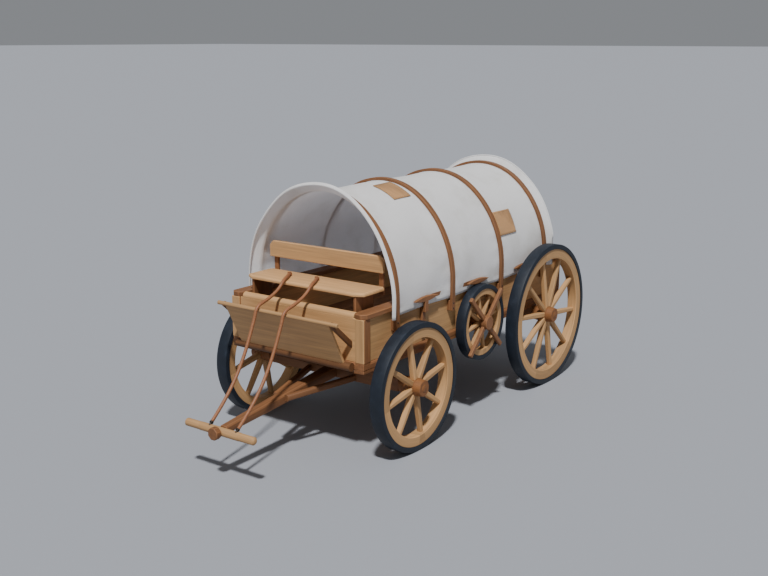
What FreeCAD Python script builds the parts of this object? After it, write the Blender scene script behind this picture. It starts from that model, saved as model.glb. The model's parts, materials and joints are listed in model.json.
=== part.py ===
"""Covered wagon: plank box on two axles, steering forecarriage, bowed canvas cover.

Millimetres. +Z is up, the tongue points to -Y and the wagon's own left side is +X.
The origin is on the ground, below the middle of the whole length, tongue included.
"""
import FreeCAD, Part
import math
import os

V = FreeCAD.Vector
X_AXIS, Y_AXIS, Z_AXIS = V(1, 0, 0), V(0, 1, 0), V(0, 0, 1)

# ---- driving dimensions ------------------------------------------------------------
# running gear
WHEELBASE = 2227.0
FRONT_WHEEL_R = 540.0
REAR_WHEEL_R = 686.0
WHEEL_ROOM = 86.0             # between the box's walls and the tyres
TYRE_W = 114.0
TYRE_T = 45.0
FELLOE_INSET = 8.0            # felloe face behind the tyre face
FRONT_FELLOE_T, REAR_FELLOE_T = 80.0, 90.0
FRONT_SPOKES, REAR_SPOKES = 8, 10
SPOKE_LEAN = 11.5             # degrees the uppermost spoke leans to the front
SPOKE_HUB_W, SPOKE_RIM_W = 50.0, 38.0
SPOKE_HUB_D, SPOKE_RIM_D = 56.0, 44.0
SPOKE_CHAMFER = 9.0
HUB_R = 74.0                  # at the spokes
HUB_END_R = 68.0
HUB_OUT = 42.0                # hub nose beyond the tyre
HUB_IN = 70.0                 # hub back inside the tyre
HUB_WALL = 22.0               # closed nose of the hub
ARM_R = 30.0                  # axle arm in the hub
ARM_CLEARANCE = 0.3
ARM_END_GAP = 3.0
AXLE_H, AXLE_D = 112.0, 104.0
AXLE_HUB_GAP = 6.0

# tongue and hounds
TONGUE_REACH = 1475.0         # front axle to the tip
TONGUE_TIP_Z = 390.0
TONGUE_ROOT_W, TONGUE_ROOT_H = 112.0, 96.0
TONGUE_NOSE_W, TONGUE_NOSE_H = 68.0, 66.0
TONGUE_CHAMFER = 10.0
TIP_ACROSS, TIP_L = 96.0, 50.0
TENON_R = 20.0
CROSSBAR_R = 34.0
CROSSBAR_END_R = 32.0         # beyond the shoulders
CROSSBAR_SHOULDER_X = 205.0
CROSSBAR_L = 730.0
CROSSBAR_ROUND = 14.0
HOUND_W, HOUND_H = 46.0, 54.0
HOUND_REAR_X = 245.0
HOUND_REACH = 700.0           # axle to the hounds' front ends beside the tongue
HOUND_LET_IN = 12.0           # how deep they are cut to lie against it

# bolsters, kingpin and reach
BOLSTER_W = 96.0
SANDBOARD_MAX_H = 66.0
SANDBOARD_SHORT = 60.0        # each end inside the bolster's end
RUB_PLATE_R, RUB_PLATE_T = 150.0, 10.0
TURN_GAP = 0.5                # between the two rub plates
KINGPIN_R = 16.0
REACH_W, REACH_H = 84.0, 56.0
REAR_HOUND_X = 430.0
REAR_HOUND_REACH = 820.0      # rear axle to the joint on the reach

# box
BOX_LENGTH = 3226.0
BOX_HALF_W = 690.0            # outside of the side walls
WALL_H, WALL_T = 355.0, 28.0
LEDGE_H, LEDGE_W = 30.0, 120.0
LEDGE_PROUD = 10.0            # outside the walls
SILL_H, SILL_W = 56.0, 134.0
SILL_PROUD = 12.0
SILL_CHAMFER_H = 15.0
JOIST_W = 60.0
FLOOR_T = 25.0
FLOOR_PLANKS = 7
GROOVE = 4.0
POST_W, POST_D = 87.0, 76.0   # across and along the box
POST_PROUD = 14.0             # posts and battens stand this far outside the walls
RAIL_W, RAIL_T = 122.0, 40.0
RAIL_PROUD = 24.0
RAIL_CHAMFER = 34.0
CAP_R = 38.0                  # rolled cap of the front and end boards
FLOOR_CLEATS = 5
FLOOR_CLEAT_W = 70.0

# cover and hoops
COVER_GAP = 1.0               # rails to the inside of the canvas
ARCH_STRAIGHT = 55.0          # the sides are straight up to this far above the rails
ARCH_TALLER = 91.0            # rise of the arch beyond its half width
CROWN_TIGHTER = 81.0          # crown radius short of the half width
CANVAS_T = 5.0
CANVAS_LAP = 48.0             # canvas below the walls' top
BRIM_OVERHANG = 98.0          # edge of the brim beyond the end hoops
BRIM_FLARE = 82.0             # rise of the brim's outer edge off the arch
BRIM_HEM_T = 15.0
BRIM_WHEEL_GAP = 6.0          # brim's feet beside the rear wheels
HOOPS = 4
END_HOOP_INSET = 387.5        # end hoops inside the box's ends
HOOP_W, HOOP_T = 50.0, 24.0
HOOP_LAP = 163.0              # hoops' feet below the walls' top
HOOP_BLOCK_H = 90.0
SKIN_GAP = 0.3                # between curved skins that lie on each other

# cleats along the sides
CLEAT_W, CLEAT_T = 50.0, 25.0
CLEAT_FOOT_UP = 72.0          # foot above the sills
CLEAT_JOG_DOWN = 45.0         # jog below the canvas
CLEAT_BAR_UP = 71.0           # bar above the canvas foot
CLEAT_BAR_L, CLEAT_BAR_H = 350.0, 46.0
CLEAT_JOG_CLEAR = 5.0         # post's jog under the canvas

# seat
SEAT_SHORT = 72.0             # each end inside the box's side
SEAT_INSET, SEAT_DEPTH = 63.5, 336.0       # behind the box's front
SEAT_UP, SEAT_T = 139.0, 30.0              # top above the rails
SEAT_CORNER_X, SEAT_CORNER_Y = 77.0, 46.0  # cut off the front corners
SEAT_REAR_CORNER = 28.0
SEAT_EDGE = 9.0
SEAT_LEG_INSET, SEAT_LEG_T = 63.0, 24.0    # leg boards inside the seat's ends
SEAT_LEG_SETBACK, SEAT_LEG_D = 16.0, 235.0
SEAT_BACK_T, SEAT_BACK_UP, SEAT_BACK_H = 35.0, 112.0, 138.0
SEAT_BACK_SHORT, SEAT_BACK_CORNER = 14.0, 36.0
SEAT_STILE_INSET, SEAT_STILE_W, SEAT_STILE_T = 33.0, 44.0, 26.0
SEAT_STILE_DOWN, SEAT_STILE_SHORT = 72.0, 22.0  # below the seat, below the back's top

# footboard
FOOTRAIL_AHEAD, FOOTRAIL_DOWN = 242.5, 4.0  # from the box's front and the walls' top
FOOTRAIL_R, FOOTRAIL_SHORT = 17.0, 57.0
FOOTBEAM_R, FOOTBEAM_SHORT = 35.0, 78.0
FOOTBOARD_T, FOOTBOARD_SHORT = 22.0, 142.0
STRUT_W, STRUT_T = 30.0, 44.0
STRUT_GAP = 4.0               # between a strut and the board's end
STRUT_FOOT_UP = 144.0         # strut's foot above the sills

# spare wheel on the left side
SPARE_MAX_R = 342.0
SPARE_WHEEL_GAP = 60.0        # least room between the spare and a road wheel
SPARE_CLEAT_GAP = 3.0         # least room below the cleat bar above it
SPARE_TYRE_T, SPARE_FELLOE_T = 40.0, 52.0
SPARE_W = 88.0
SPARE_UP = 10.0               # its centre above the sills
SPARE_CLEAR = 2.5             # spare tyre off the canvas
SPARE_SPOKES = 8
SPARE_HUB_R = 56.0
CLAMP_ARM_PAST = 23.0         # clamp's arms beyond the spare's rim
CLAMP_ARM_W, CLAMP_ARM_T = 40.0, 30.0
CLAMP_BOSS_R, CLAMP_BOSS_T = 62.0, 56.0

# reins
REIN_R = 14.0
KNOT_R, KNOT_H = 22.0, 38.0
EYE_R = 17.0
EYE_AHEAD, EYE_UP = -17.0, 47.0             # rein's end from the crossbar's middle

# ---- stations worked out from the driving dimensions ----------------------------------
# along the wagon
FRONT_Y = (TONGUE_REACH - WHEELBASE - REAR_WHEEL_R) / 2
REAR_Y = FRONT_Y + WHEELBASE
MID_Y = (FRONT_Y + REAR_Y) / 2
BOX_Y0, BOX_Y1 = MID_Y - BOX_LENGTH / 2, MID_Y + BOX_LENGTH / 2
CROSSBAR_Y = FRONT_Y - TONGUE_REACH + TIP_L + CROSSBAR_R
HOOP_PITCH = (BOX_LENGTH - 2 * END_HOOP_INSET) / (HOOPS - 1)
HOOP_Y = [BOX_Y0 + END_HOOP_INSET + i * HOOP_PITCH for i in range(HOOPS)]
CLEAT_Y = [(a + b) / 2 for a, b in zip(HOOP_Y, HOOP_Y[1:])]
SEAT_Y0, SEAT_Y1 = BOX_Y0 + SEAT_INSET, BOX_Y0 + SEAT_INSET + SEAT_DEPTH
FOOTRAIL_Y = BOX_Y0 - FOOTRAIL_AHEAD

# across it
BOX_OUT_X = BOX_HALF_W + POST_PROUD
LEDGE_OUT_X = BOX_HALF_W + LEDGE_PROUD
SILL_OUT_X = BOX_HALF_W + SILL_PROUD
RAIL_OUT_X = BOX_HALF_W + RAIL_PROUD
BOLSTER_HALF_L = LEDGE_OUT_X - LEDGE_W
SANDBOARD_HALF_L = BOLSTER_HALF_L - SANDBOARD_SHORT
WHEEL_IN_X = BOX_HALF_W + WHEEL_ROOM
WHEEL_OUT_X = WHEEL_IN_X + TYRE_W
WHEEL_MID_X = WHEEL_OUT_X - TYRE_W / 2
HUB_X0, HUB_X1 = WHEEL_IN_X - HUB_IN, WHEEL_OUT_X + HUB_OUT
ARCH_HALF_W = RAIL_OUT_X + COVER_GAP
CANVAS_OUT_X = ARCH_HALF_W + CANVAS_T
HOOP_IN = CANVAS_T + SKIN_GAP
SPARE_IN_X = CANVAS_OUT_X + SPARE_CLEAR
SPARE_OUT_X = SPARE_IN_X + SPARE_W
SEAT_HALF_W = BOX_HALF_W - SEAT_SHORT

# above the ground
LEDGE_Z = REAR_WHEEL_R + AXLE_H / 2
SILL_Z = LEDGE_Z + LEDGE_H
SILL_TOP_Z = SILL_Z + SILL_H
FLOOR_TOP_Z = SILL_TOP_Z + FLOOR_T
WALL_TOP_Z = SILL_TOP_Z + WALL_H
RAIL_TOP_Z = WALL_TOP_Z + RAIL_T
SANDBOARD_Z = FRONT_WHEEL_R + AXLE_H / 2
SANDBOARD_H = min(SANDBOARD_MAX_H, (SILL_Z - SANDBOARD_Z - 2 * RUB_PLATE_T - TURN_GAP) / 2)
TURN_Z = SANDBOARD_Z + SANDBOARD_H + RUB_PLATE_T
BOLSTER_Z = TURN_Z + TURN_GAP + RUB_PLATE_T
ARCH_BASE_Z = RAIL_TOP_Z + ARCH_STRAIGHT
ARCH_RISE = ARCH_HALF_W + ARCH_TALLER
CROWN_R = ARCH_HALF_W - CROWN_TIGHTER
CANVAS_FOOT_Z = WALL_TOP_Z - CANVAS_LAP
HOOP_FOOT_Z = WALL_TOP_Z - HOOP_LAP
SEAT_TOP_Z = RAIL_TOP_Z + SEAT_UP
FOOTRAIL_Z = WALL_TOP_Z - FOOTRAIL_DOWN
FOOTBEAM_Z = SILL_Z + SILL_H / 2
SPARE_Z = SILL_TOP_Z + SPARE_UP
CLEAT_BAR_Z = CANVAS_FOOT_Z + CLEAT_BAR_UP
SPARE_ROOM = [math.hypot(MID_Y - y, SPARE_Z - r) - r - SPARE_WHEEL_GAP
              for y, r in ((FRONT_Y, FRONT_WHEEL_R), (REAR_Y, REAR_WHEEL_R))]
SPARE_R = min(SPARE_ROOM + [SPARE_MAX_R, CLEAT_BAR_Z - CLEAT_BAR_H / 2 - SPARE_CLEAT_GAP - SPARE_Z])


# ---- helpers -------------------------------------------------------------------------
def block(x0, x1, y0, y1, z0, z1):
    return Part.makeBox(x1 - x0, y1 - y0, z1 - z0, V(x0, y0, z0))


def mirror_x(shape):
    return shape.mirror(V(0, 0, 0), X_AXIS)


def both_sides(shape):
    return [shape, mirror_x(shape)]


def polygon(points):
    return Part.makePolygon(list(points) + [points[0]])


def extrude(points, vector):
    return Part.Face(polygon(points)).extrude(vector)


def chamfered_section(centre, across, up, half_w, half_h, chamfer):
    """Closed rectangle with its corners cut, in the plane of the two unit vectors."""
    corners = [(half_w, -half_h + chamfer), (half_w, half_h - chamfer),
               (half_w - chamfer, half_h), (-half_w + chamfer, half_h),
               (-half_w, half_h - chamfer), (-half_w, -half_h + chamfer),
               (-half_w + chamfer, -half_h), (half_w - chamfer, -half_h)]
    return polygon([centre + across * a + up * b for a, b in corners])


def tapered_bar(start, end, across, size0, size1, chamfer):
    """Chamfered bar between two points; each size is (width, height)."""
    run = (end - start).normalize()
    up = run.cross(across).normalize()
    wires = [chamfered_section(c, across, up, w / 2, h / 2, chamfer)
             for c, (w, h) in ((start, size0), (end, size1))]
    return Part.makeLoft(wires, True, True)


def turned(profile, centre_y, centre_z):
    """Solid of revolution about an X-wise line; the profile is (x, radius) pairs."""
    points = [V(x, centre_y, centre_z + r) for x, r in profile]
    face = Part.Face(polygon(points))
    return face.revolve(V(0, centre_y, centre_z), X_AXIS, 360)


def x_cylinder(radius, x0, x1, y, z):
    return Part.makeCylinder(radius, x1 - x0, V(x0, y, z), X_AXIS)


def ring(x0, x1, r_in, r_out, y, z):
    return x_cylinder(r_out, x0, x1, y, z).cut(x_cylinder(r_in, x0, x1, y, z))


def compound(solids):
    return Part.makeCompound(solids)


# ---- wheels --------------------------------------------------------------------------
def spoke_set(count, x_mid, y, z, r0, r1, size0, size1, chamfer):
    """Tapered spokes about an X-wise line, the uppermost one leaning to the front."""
    spokes = []
    for i in range(count):
        angle = 2 * math.pi * i / count - math.radians(SPOKE_LEAN)
        out = V(0, math.sin(angle), math.cos(angle))
        hub_point = V(x_mid, y, z)
        spokes.append(tapered_bar(hub_point + out * r0, hub_point + out * r1,
                                  out.cross(X_AXIS).normalize(), size0, size1, chamfer))
    return spokes


def hub_profile():
    """Barrel of the hub, without its bore, as (x, radius) pairs."""
    band = (HUB_X1 - HUB_X0) / 4
    return [(HUB_X0, 0), (HUB_X0, HUB_END_R), (HUB_X0 + band, HUB_R),
            (HUB_X1 - band, HUB_R), (HUB_X1, HUB_END_R), (HUB_X1, 0)]


def road_wheel(radius, y, spoke_count, felloe_t):
    """Tyre, felloe with its spokes, and hub of a left wheel standing on the ground."""
    tyre = ring(WHEEL_IN_X, WHEEL_OUT_X, radius - TYRE_T, radius, y, radius)
    felloe_r = radius - TYRE_T - felloe_t
    felloe = ring(WHEEL_IN_X + FELLOE_INSET, WHEEL_OUT_X - FELLOE_INSET,
                  felloe_r, radius - TYRE_T, y, radius)
    spokes = spoke_set(spoke_count, WHEEL_MID_X, y, radius, HUB_END_R, felloe_r + felloe_t / 3,
                       (SPOKE_HUB_W, SPOKE_HUB_D), (SPOKE_RIM_W, SPOKE_RIM_D), SPOKE_CHAMFER)
    hub = turned(hub_profile(), y, radius)
    wheel = felloe.fuse(spokes).cut(hub)
    bore = x_cylinder(ARM_R + ARM_CLEARANCE, HUB_X0, HUB_X1 - HUB_WALL, y, radius)
    return {"tyre": tyre, "wheel": wheel, "hub": hub.cut(bore)}


def axle(y, radius, pin_radius=0):
    """Square axle beam with a round arm for each hub."""
    beam_x = HUB_X0 - AXLE_HUB_GAP
    beam = block(-beam_x, beam_x, y - AXLE_D / 2, y + AXLE_D / 2,
                 radius - AXLE_H / 2, radius + AXLE_H / 2)
    arm_x = HUB_X1 - HUB_WALL - ARM_END_GAP
    solid = beam.fuse(x_cylinder(ARM_R, -arm_x, arm_x, y, radius))
    if pin_radius:
        solid = solid.cut(Part.makeCylinder(pin_radius, AXLE_H, V(0, y, radius - AXLE_H / 2)))
    return solid


# ---- forecarriage ----------------------------------------------------------------------
def forecarriage():
    pin_r = KINGPIN_R + ARM_CLEARANCE
    front_face = FRONT_Y - AXLE_D / 2
    nose_y = CROSSBAR_Y + CROSSBAR_R
    nodes = {"front_axle": axle(FRONT_Y, FRONT_WHEEL_R, pin_r)}

    board = block(-SANDBOARD_HALF_L, SANDBOARD_HALF_L, FRONT_Y - BOLSTER_W / 2, FRONT_Y + BOLSTER_W / 2,
                  SANDBOARD_Z, SANDBOARD_Z + SANDBOARD_H)
    plate = Part.makeCylinder(RUB_PLATE_R, RUB_PLATE_T, V(0, FRONT_Y, SANDBOARD_Z + SANDBOARD_H))
    pin_hole = Part.makeCylinder(pin_r, TURN_Z - SANDBOARD_Z, V(0, FRONT_Y, SANDBOARD_Z))
    nodes["sandboard"] = board.cut(pin_hole)
    nodes["lower_rub_plate"] = plate.cut(pin_hole)

    root = V(0, front_face, FRONT_WHEEL_R - AXLE_H / 2 + TONGUE_ROOT_H / 2)
    nose = V(0, nose_y, TONGUE_TIP_Z)
    tongue = tapered_bar(root, nose, X_AXIS, (TONGUE_ROOT_W, TONGUE_ROOT_H),
                         (TONGUE_NOSE_W, TONGUE_NOSE_H), TONGUE_CHAMFER)
    tongue = tongue.common(block(-TONGUE_ROOT_W, TONGUE_ROOT_W, nose_y, front_face,
                                 0, FRONT_WHEEL_R + AXLE_H))
    tenon = Part.makeCylinder(TENON_R, 2 * CROSSBAR_R + TIP_L / 2, V(0, nose_y + 1, TONGUE_TIP_Z), V(0, -1, 0))
    tongue = tongue.fuse(tenon)

    half, shoulder = CROSSBAR_L / 2, CROSSBAR_SHOULDER_X
    right_end = [(half, 0), (half, CROSSBAR_END_R - CROSSBAR_ROUND), (half - CROSSBAR_ROUND, CROSSBAR_END_R),
                 (shoulder, CROSSBAR_END_R), (shoulder - CROSSBAR_R + CROSSBAR_END_R, CROSSBAR_R)]
    left_end = [(-x, r) for x, r in right_end]
    crossbar = turned(left_end + right_end[::-1], CROSSBAR_Y, TONGUE_TIP_Z)
    nodes["crossbar"] = crossbar.cut(tongue)

    tip_y = CROSSBAR_Y - CROSSBAR_R
    corner = TIP_ACROSS / 2 * math.tan(math.pi / 8)
    tip_wire = chamfered_section(V(0, tip_y, TONGUE_TIP_Z), X_AXIS, Z_AXIS,
                                 TIP_ACROSS / 2, TIP_ACROSS / 2, TIP_ACROSS / 2 - corner)
    tip = Part.Face(tip_wire).extrude(V(0, -TIP_L, 0))
    nodes["tongue"] = compound([tongue, tip.cut(tongue)])

    share = (HOUND_REACH - AXLE_D / 2) / (front_face - nose_y)
    end = root + (nose - root) * share
    end.x = (TONGUE_ROOT_W + (TONGUE_NOSE_W - TONGUE_ROOT_W) * share + HOUND_W) / 2 - HOUND_LET_IN
    end.z += (TONGUE_ROOT_H + (TONGUE_NOSE_H - TONGUE_ROOT_H) * share - HOUND_H) / 2
    start = V(HOUND_REAR_X, front_face + 1, FRONT_WHEEL_R - AXLE_H / 2 + HOUND_H / 2 + 4)
    hound = tapered_bar(start, end, X_AXIS, (HOUND_W, HOUND_H), (HOUND_W, HOUND_H), TONGUE_CHAMFER)
    ahead = block(0, SANDBOARD_HALF_L, FRONT_Y - TONGUE_REACH, front_face, 0, LEDGE_Z)
    hounds = both_sides(hound.common(ahead).cut(tongue))
    nodes["hounds"] = compound(hounds)
    return nodes, crossbar


# ---- undercarriage on the box side -----------------------------------------------------
def undercarriage():
    nodes = {"rear_axle": axle(REAR_Y, REAR_WHEEL_R)}
    pin_foot = FRONT_WHEEL_R - AXLE_H / 2
    pin = Part.makeCylinder(KINGPIN_R, SILL_Z - pin_foot, V(0, FRONT_Y, pin_foot))
    front = block(-BOLSTER_HALF_L, BOLSTER_HALF_L, FRONT_Y - BOLSTER_W / 2, FRONT_Y + BOLSTER_W / 2,
                  BOLSTER_Z, SILL_Z)
    rear = block(-BOLSTER_HALF_L, BOLSTER_HALF_L, REAR_Y - BOLSTER_W / 2, REAR_Y + BOLSTER_W / 2,
                 LEDGE_Z, SILL_Z)
    nodes["bolsters"] = compound([front.cut(pin), rear])
    plate = Part.makeCylinder(RUB_PLATE_R, RUB_PLATE_T, V(0, FRONT_Y, BOLSTER_Z - RUB_PLATE_T))
    nodes["kingpin"] = pin.fuse(plate)

    reach = block(-REACH_W / 2, REACH_W / 2, FRONT_Y + BOLSTER_W / 2, REAR_Y - AXLE_D / 2,
                  LEDGE_Z - REACH_H, LEDGE_Z)
    hound_z = LEDGE_Z - HOUND_H / 2
    hound = tapered_bar(V(REAR_HOUND_X, REAR_Y - AXLE_D / 2 + 1, hound_z),
                        V(REACH_W / 4, REAR_Y - REAR_HOUND_REACH, hound_z),
                        X_AXIS, (HOUND_W, HOUND_H), (HOUND_W, HOUND_H), TONGUE_CHAMFER)
    ahead = block(-BOLSTER_HALF_L, BOLSTER_HALF_L, FRONT_Y, REAR_Y - AXLE_D / 2, 0, LEDGE_Z)
    hounds = both_sides(hound.common(ahead).cut(reach))
    nodes["reach"] = compound([reach] + hounds)
    cleats = []
    for y in cross_stations():
        cleats.append(block(-BOLSTER_HALF_L, BOLSTER_HALF_L, y - FLOOR_CLEAT_W / 2, y + FLOOR_CLEAT_W / 2,
                            LEDGE_Z, SILL_Z))
    nodes["floor_cleats"] = compound(cleats)
    return nodes


def cross_stations():
    """Evenly spaced stations of the cross timbers between the two bolsters."""
    return [FRONT_Y + WHEELBASE * (i + 1) / (FLOOR_CLEATS + 1) for i in range(FLOOR_CLEATS)]


# ---- box ---------------------------------------------------------------------------------
def timber_frame(proud, width, z0, z1):
    """Four timbers under the walls: two along the sides, two across between them."""
    out_x, y0, y1 = BOX_HALF_W + proud, BOX_Y0 - proud, BOX_Y1 + proud
    in_x = out_x - width
    return both_sides(block(in_x, out_x, y0, y1, z0, z1)) + [
        block(-in_x, in_x, y0, y0 + width, z0, z1), block(-in_x, in_x, y1 - width, y1, z0, z1)]


def sill_chamfers():
    """Wedges along the sills' upper outer edges, stopped at the corner posts."""
    low, wall = SILL_TOP_Z - SILL_CHAMFER_H, BOX_HALF_W
    side_y0, side_y1 = BOX_Y0 + POST_D, BOX_Y1 - POST_D
    side = extrude([V(SILL_OUT_X, side_y0, low), V(wall, side_y0, SILL_TOP_Z), V(SILL_OUT_X, side_y0, SILL_TOP_Z)],
                   V(0, side_y1 - side_y0, 0))
    wedges = both_sides(side)
    half = BOX_OUT_X - POST_W
    for wall_y, outward in ((BOX_Y0, -1), (BOX_Y1, 1)):
        edge_y = wall_y + outward * SILL_PROUD
        wedges.append(extrude([V(-half, edge_y, low), V(-half, wall_y, SILL_TOP_Z), V(-half, edge_y, SILL_TOP_Z)],
                              V(2 * half, 0, 0)))
    return wedges


def end_board(outer_y, inward):
    """Cross board between two posts with a rolled cap along its top."""
    half = BOX_OUT_X - POST_W
    y0, y1 = sorted((outer_y, outer_y + inward * WALL_T))
    board = block(-half, half, y0, y1, SILL_TOP_Z, WALL_TOP_Z)
    cap_x = RAIL_OUT_X - RAIL_W
    cap = x_cylinder(CAP_R, -cap_x, cap_x, outer_y + inward * CAP_R, RAIL_TOP_Z - CAP_R)
    return board.fuse(cap)


def floor_boards(posts):
    """Floor between the four walls, plank joints cut lengthwise as V grooves."""
    half = BOX_HALF_W - WALL_T
    y0, y1 = BOX_Y0 + WALL_T, BOX_Y1 - WALL_T
    boards = block(-half, half, y0, y1, SILL_TOP_Z, FLOOR_TOP_Z)
    grooves = []
    for i in range(1, FLOOR_PLANKS):
        x = half * (2 * i / FLOOR_PLANKS - 1)
        grooves.append(extrude([V(x - GROOVE, y0, FLOOR_TOP_Z), V(x, y0, FLOOR_TOP_Z - GROOVE),
                                V(x + GROOVE, y0, FLOOR_TOP_Z)], V(0, y1 - y0, 0)))
    return boards.cut(posts + grooves)


def box_body():
    nodes = {"ledge": compound(timber_frame(LEDGE_PROUD, LEDGE_W, LEDGE_Z, SILL_Z))}
    sills = [timber.cut(sill_chamfers()) for timber in timber_frame(SILL_PROUD, SILL_W, SILL_Z, SILL_TOP_Z)]
    joist_x = SILL_OUT_X - SILL_W
    joists = [block(-joist_x, joist_x, y - JOIST_W / 2, y + JOIST_W / 2, SILL_Z, SILL_TOP_Z)
              for y in [FRONT_Y] + cross_stations() + [REAR_Y]]
    nodes["sills"] = compound(sills + joists)

    wall_y0, wall_y1 = BOX_Y0 + POST_D, BOX_Y1 - POST_D
    left = block(BOX_HALF_W - WALL_T, BOX_HALF_W, wall_y0, wall_y1, SILL_TOP_Z, WALL_TOP_Z)
    nodes["side_wall_left"], nodes["side_wall_right"] = both_sides(left)
    nodes["front_board"] = end_board(BOX_Y0, 1)
    nodes["end_board"] = end_board(BOX_Y1, -1)

    posts, battens = [], []
    post_x = BOX_OUT_X - POST_W
    for post_y, batten_y in ((BOX_Y0, BOX_Y0 - POST_PROUD), (BOX_Y1 - POST_D, BOX_Y1)):
        posts += both_sides(block(post_x, BOX_OUT_X, post_y, post_y + POST_D, SILL_TOP_Z, WALL_TOP_Z))
        battens += both_sides(block(post_x, BOX_OUT_X, batten_y, batten_y + POST_PROUD, SILL_TOP_Z, WALL_TOP_Z))
    nodes["corner_posts"] = compound(posts)
    nodes["corner_battens"] = compound(battens)
    nodes["floor"] = floor_boards(posts)

    rail_x0 = RAIL_OUT_X - RAIL_W
    y0, y1 = BOX_Y0 - POST_PROUD, BOX_Y1 + POST_PROUD
    c = RAIL_CHAMFER
    outline = [V(rail_x0, y0 + c, 0), V(rail_x0 + c, y0, 0), V(RAIL_OUT_X - c, y0, 0), V(RAIL_OUT_X, y0 + c, 0),
               V(RAIL_OUT_X, y1 - c, 0), V(RAIL_OUT_X - c, y1, 0), V(rail_x0 + c, y1, 0), V(rail_x0, y1 - c, 0)]
    rail = extrude(outline, V(0, 0, RAIL_T))
    rail.translate(V(0, 0, WALL_TOP_Z))
    nodes["top_rails"] = compound(both_sides(rail))
    return nodes


# ---- cover ---------------------------------------------------------------------------------
def arch_wire(offset, y, foot_z):
    """Closed three-centred arch, straight-sided below, grown outwards by the offset."""
    rise, half = ARCH_RISE, ARCH_HALF_W
    top_drop = rise - CROWN_R
    side_r = (half ** 2 + top_drop ** 2 - CROWN_R ** 2) / (2 * (half - CROWN_R))
    side_c = half - side_r
    angle = math.atan2(top_drop, -side_c)
    r_side = side_r + offset
    base = ARCH_BASE_Z

    def on_side(a, sign):
        return V(sign * (side_c + r_side * math.cos(a)), y, base + r_side * math.sin(a))

    crown = V(0, y, base + rise + offset)
    foot = V(half + offset, y, foot_z)
    edges = [Part.makeLine(foot, on_side(0, 1)),
             Part.Arc(on_side(0, 1), on_side(angle / 2, 1), on_side(angle, 1)).toShape(),
             Part.Arc(on_side(angle, 1), crown, on_side(angle, -1)).toShape(),
             Part.Arc(on_side(angle, -1), on_side(angle / 2, -1), on_side(0, -1)).toShape(),
             Part.makeLine(on_side(0, -1), V(-foot.x, y, foot_z)),
             Part.makeLine(V(-foot.x, y, foot_z), foot)]
    return Part.Wire(edges)


def arch_band(inner, outer, y0, y1, foot_z):
    """Arch-shaped band between two offsets, extruded from y0 to y1."""
    solid = Part.Face(arch_wire(outer, y0, foot_z)).extrude(V(0, y1 - y0, 0))
    hollow = Part.Face(arch_wire(inner, y0, foot_z)).extrude(V(0, y1 - y0, 0))
    return solid.cut(hollow)


def brim(root_y, edge_y):
    """Flared end of the cover, thicker at the hem than at its root."""
    outer = Part.makeLoft([arch_wire(CANVAS_T, root_y, CANVAS_FOOT_Z),
                           arch_wire(BRIM_FLARE, edge_y, CANVAS_FOOT_Z)], True, True)
    inner = Part.makeLoft([arch_wire(0, root_y, CANVAS_FOOT_Z),
                           arch_wire(BRIM_FLARE - BRIM_HEM_T, edge_y, CANVAS_FOOT_Z)], True, True)
    return outer.cut(inner)


def cover_and_hoops():
    nodes = {}
    root_y0, root_y1 = HOOP_Y[0] - HOOP_W / 2, HOOP_Y[-1] + HOOP_W / 2
    canvas = arch_band(0, CANVAS_T, root_y0, root_y1, CANVAS_FOOT_Z)
    edge_y0, edge_y1 = HOOP_Y[0] - BRIM_OVERHANG, HOOP_Y[-1] + BRIM_OVERHANG
    canvas = canvas.fuse([brim(root_y0, edge_y0), brim(root_y1, edge_y1)]).removeSplitter()
    wheel_room = block(WHEEL_IN_X - BRIM_WHEEL_GAP, WHEEL_OUT_X, root_y1, edge_y1,
                       CANVAS_FOOT_Z, 2 * REAR_WHEEL_R + BRIM_WHEEL_GAP)
    nodes["cover"] = canvas.cut(both_sides(wheel_room))
    hoops, blocks = [], []
    for y in HOOP_Y:
        hoops.append(arch_band(HOOP_IN, HOOP_IN + HOOP_T, y - HOOP_W / 2, y + HOOP_W / 2, HOOP_FOOT_Z))
        blocks += both_sides(block(BOX_HALF_W, ARCH_HALF_W + HOOP_IN, y - HOOP_W / 2, y + HOOP_W / 2,
                                   HOOP_FOOT_Z, HOOP_FOOT_Z + HOOP_BLOCK_H))
    nodes["hoops"] = compound(hoops)
    nodes["hoop_blocks"] = compound(blocks)
    return nodes


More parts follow.
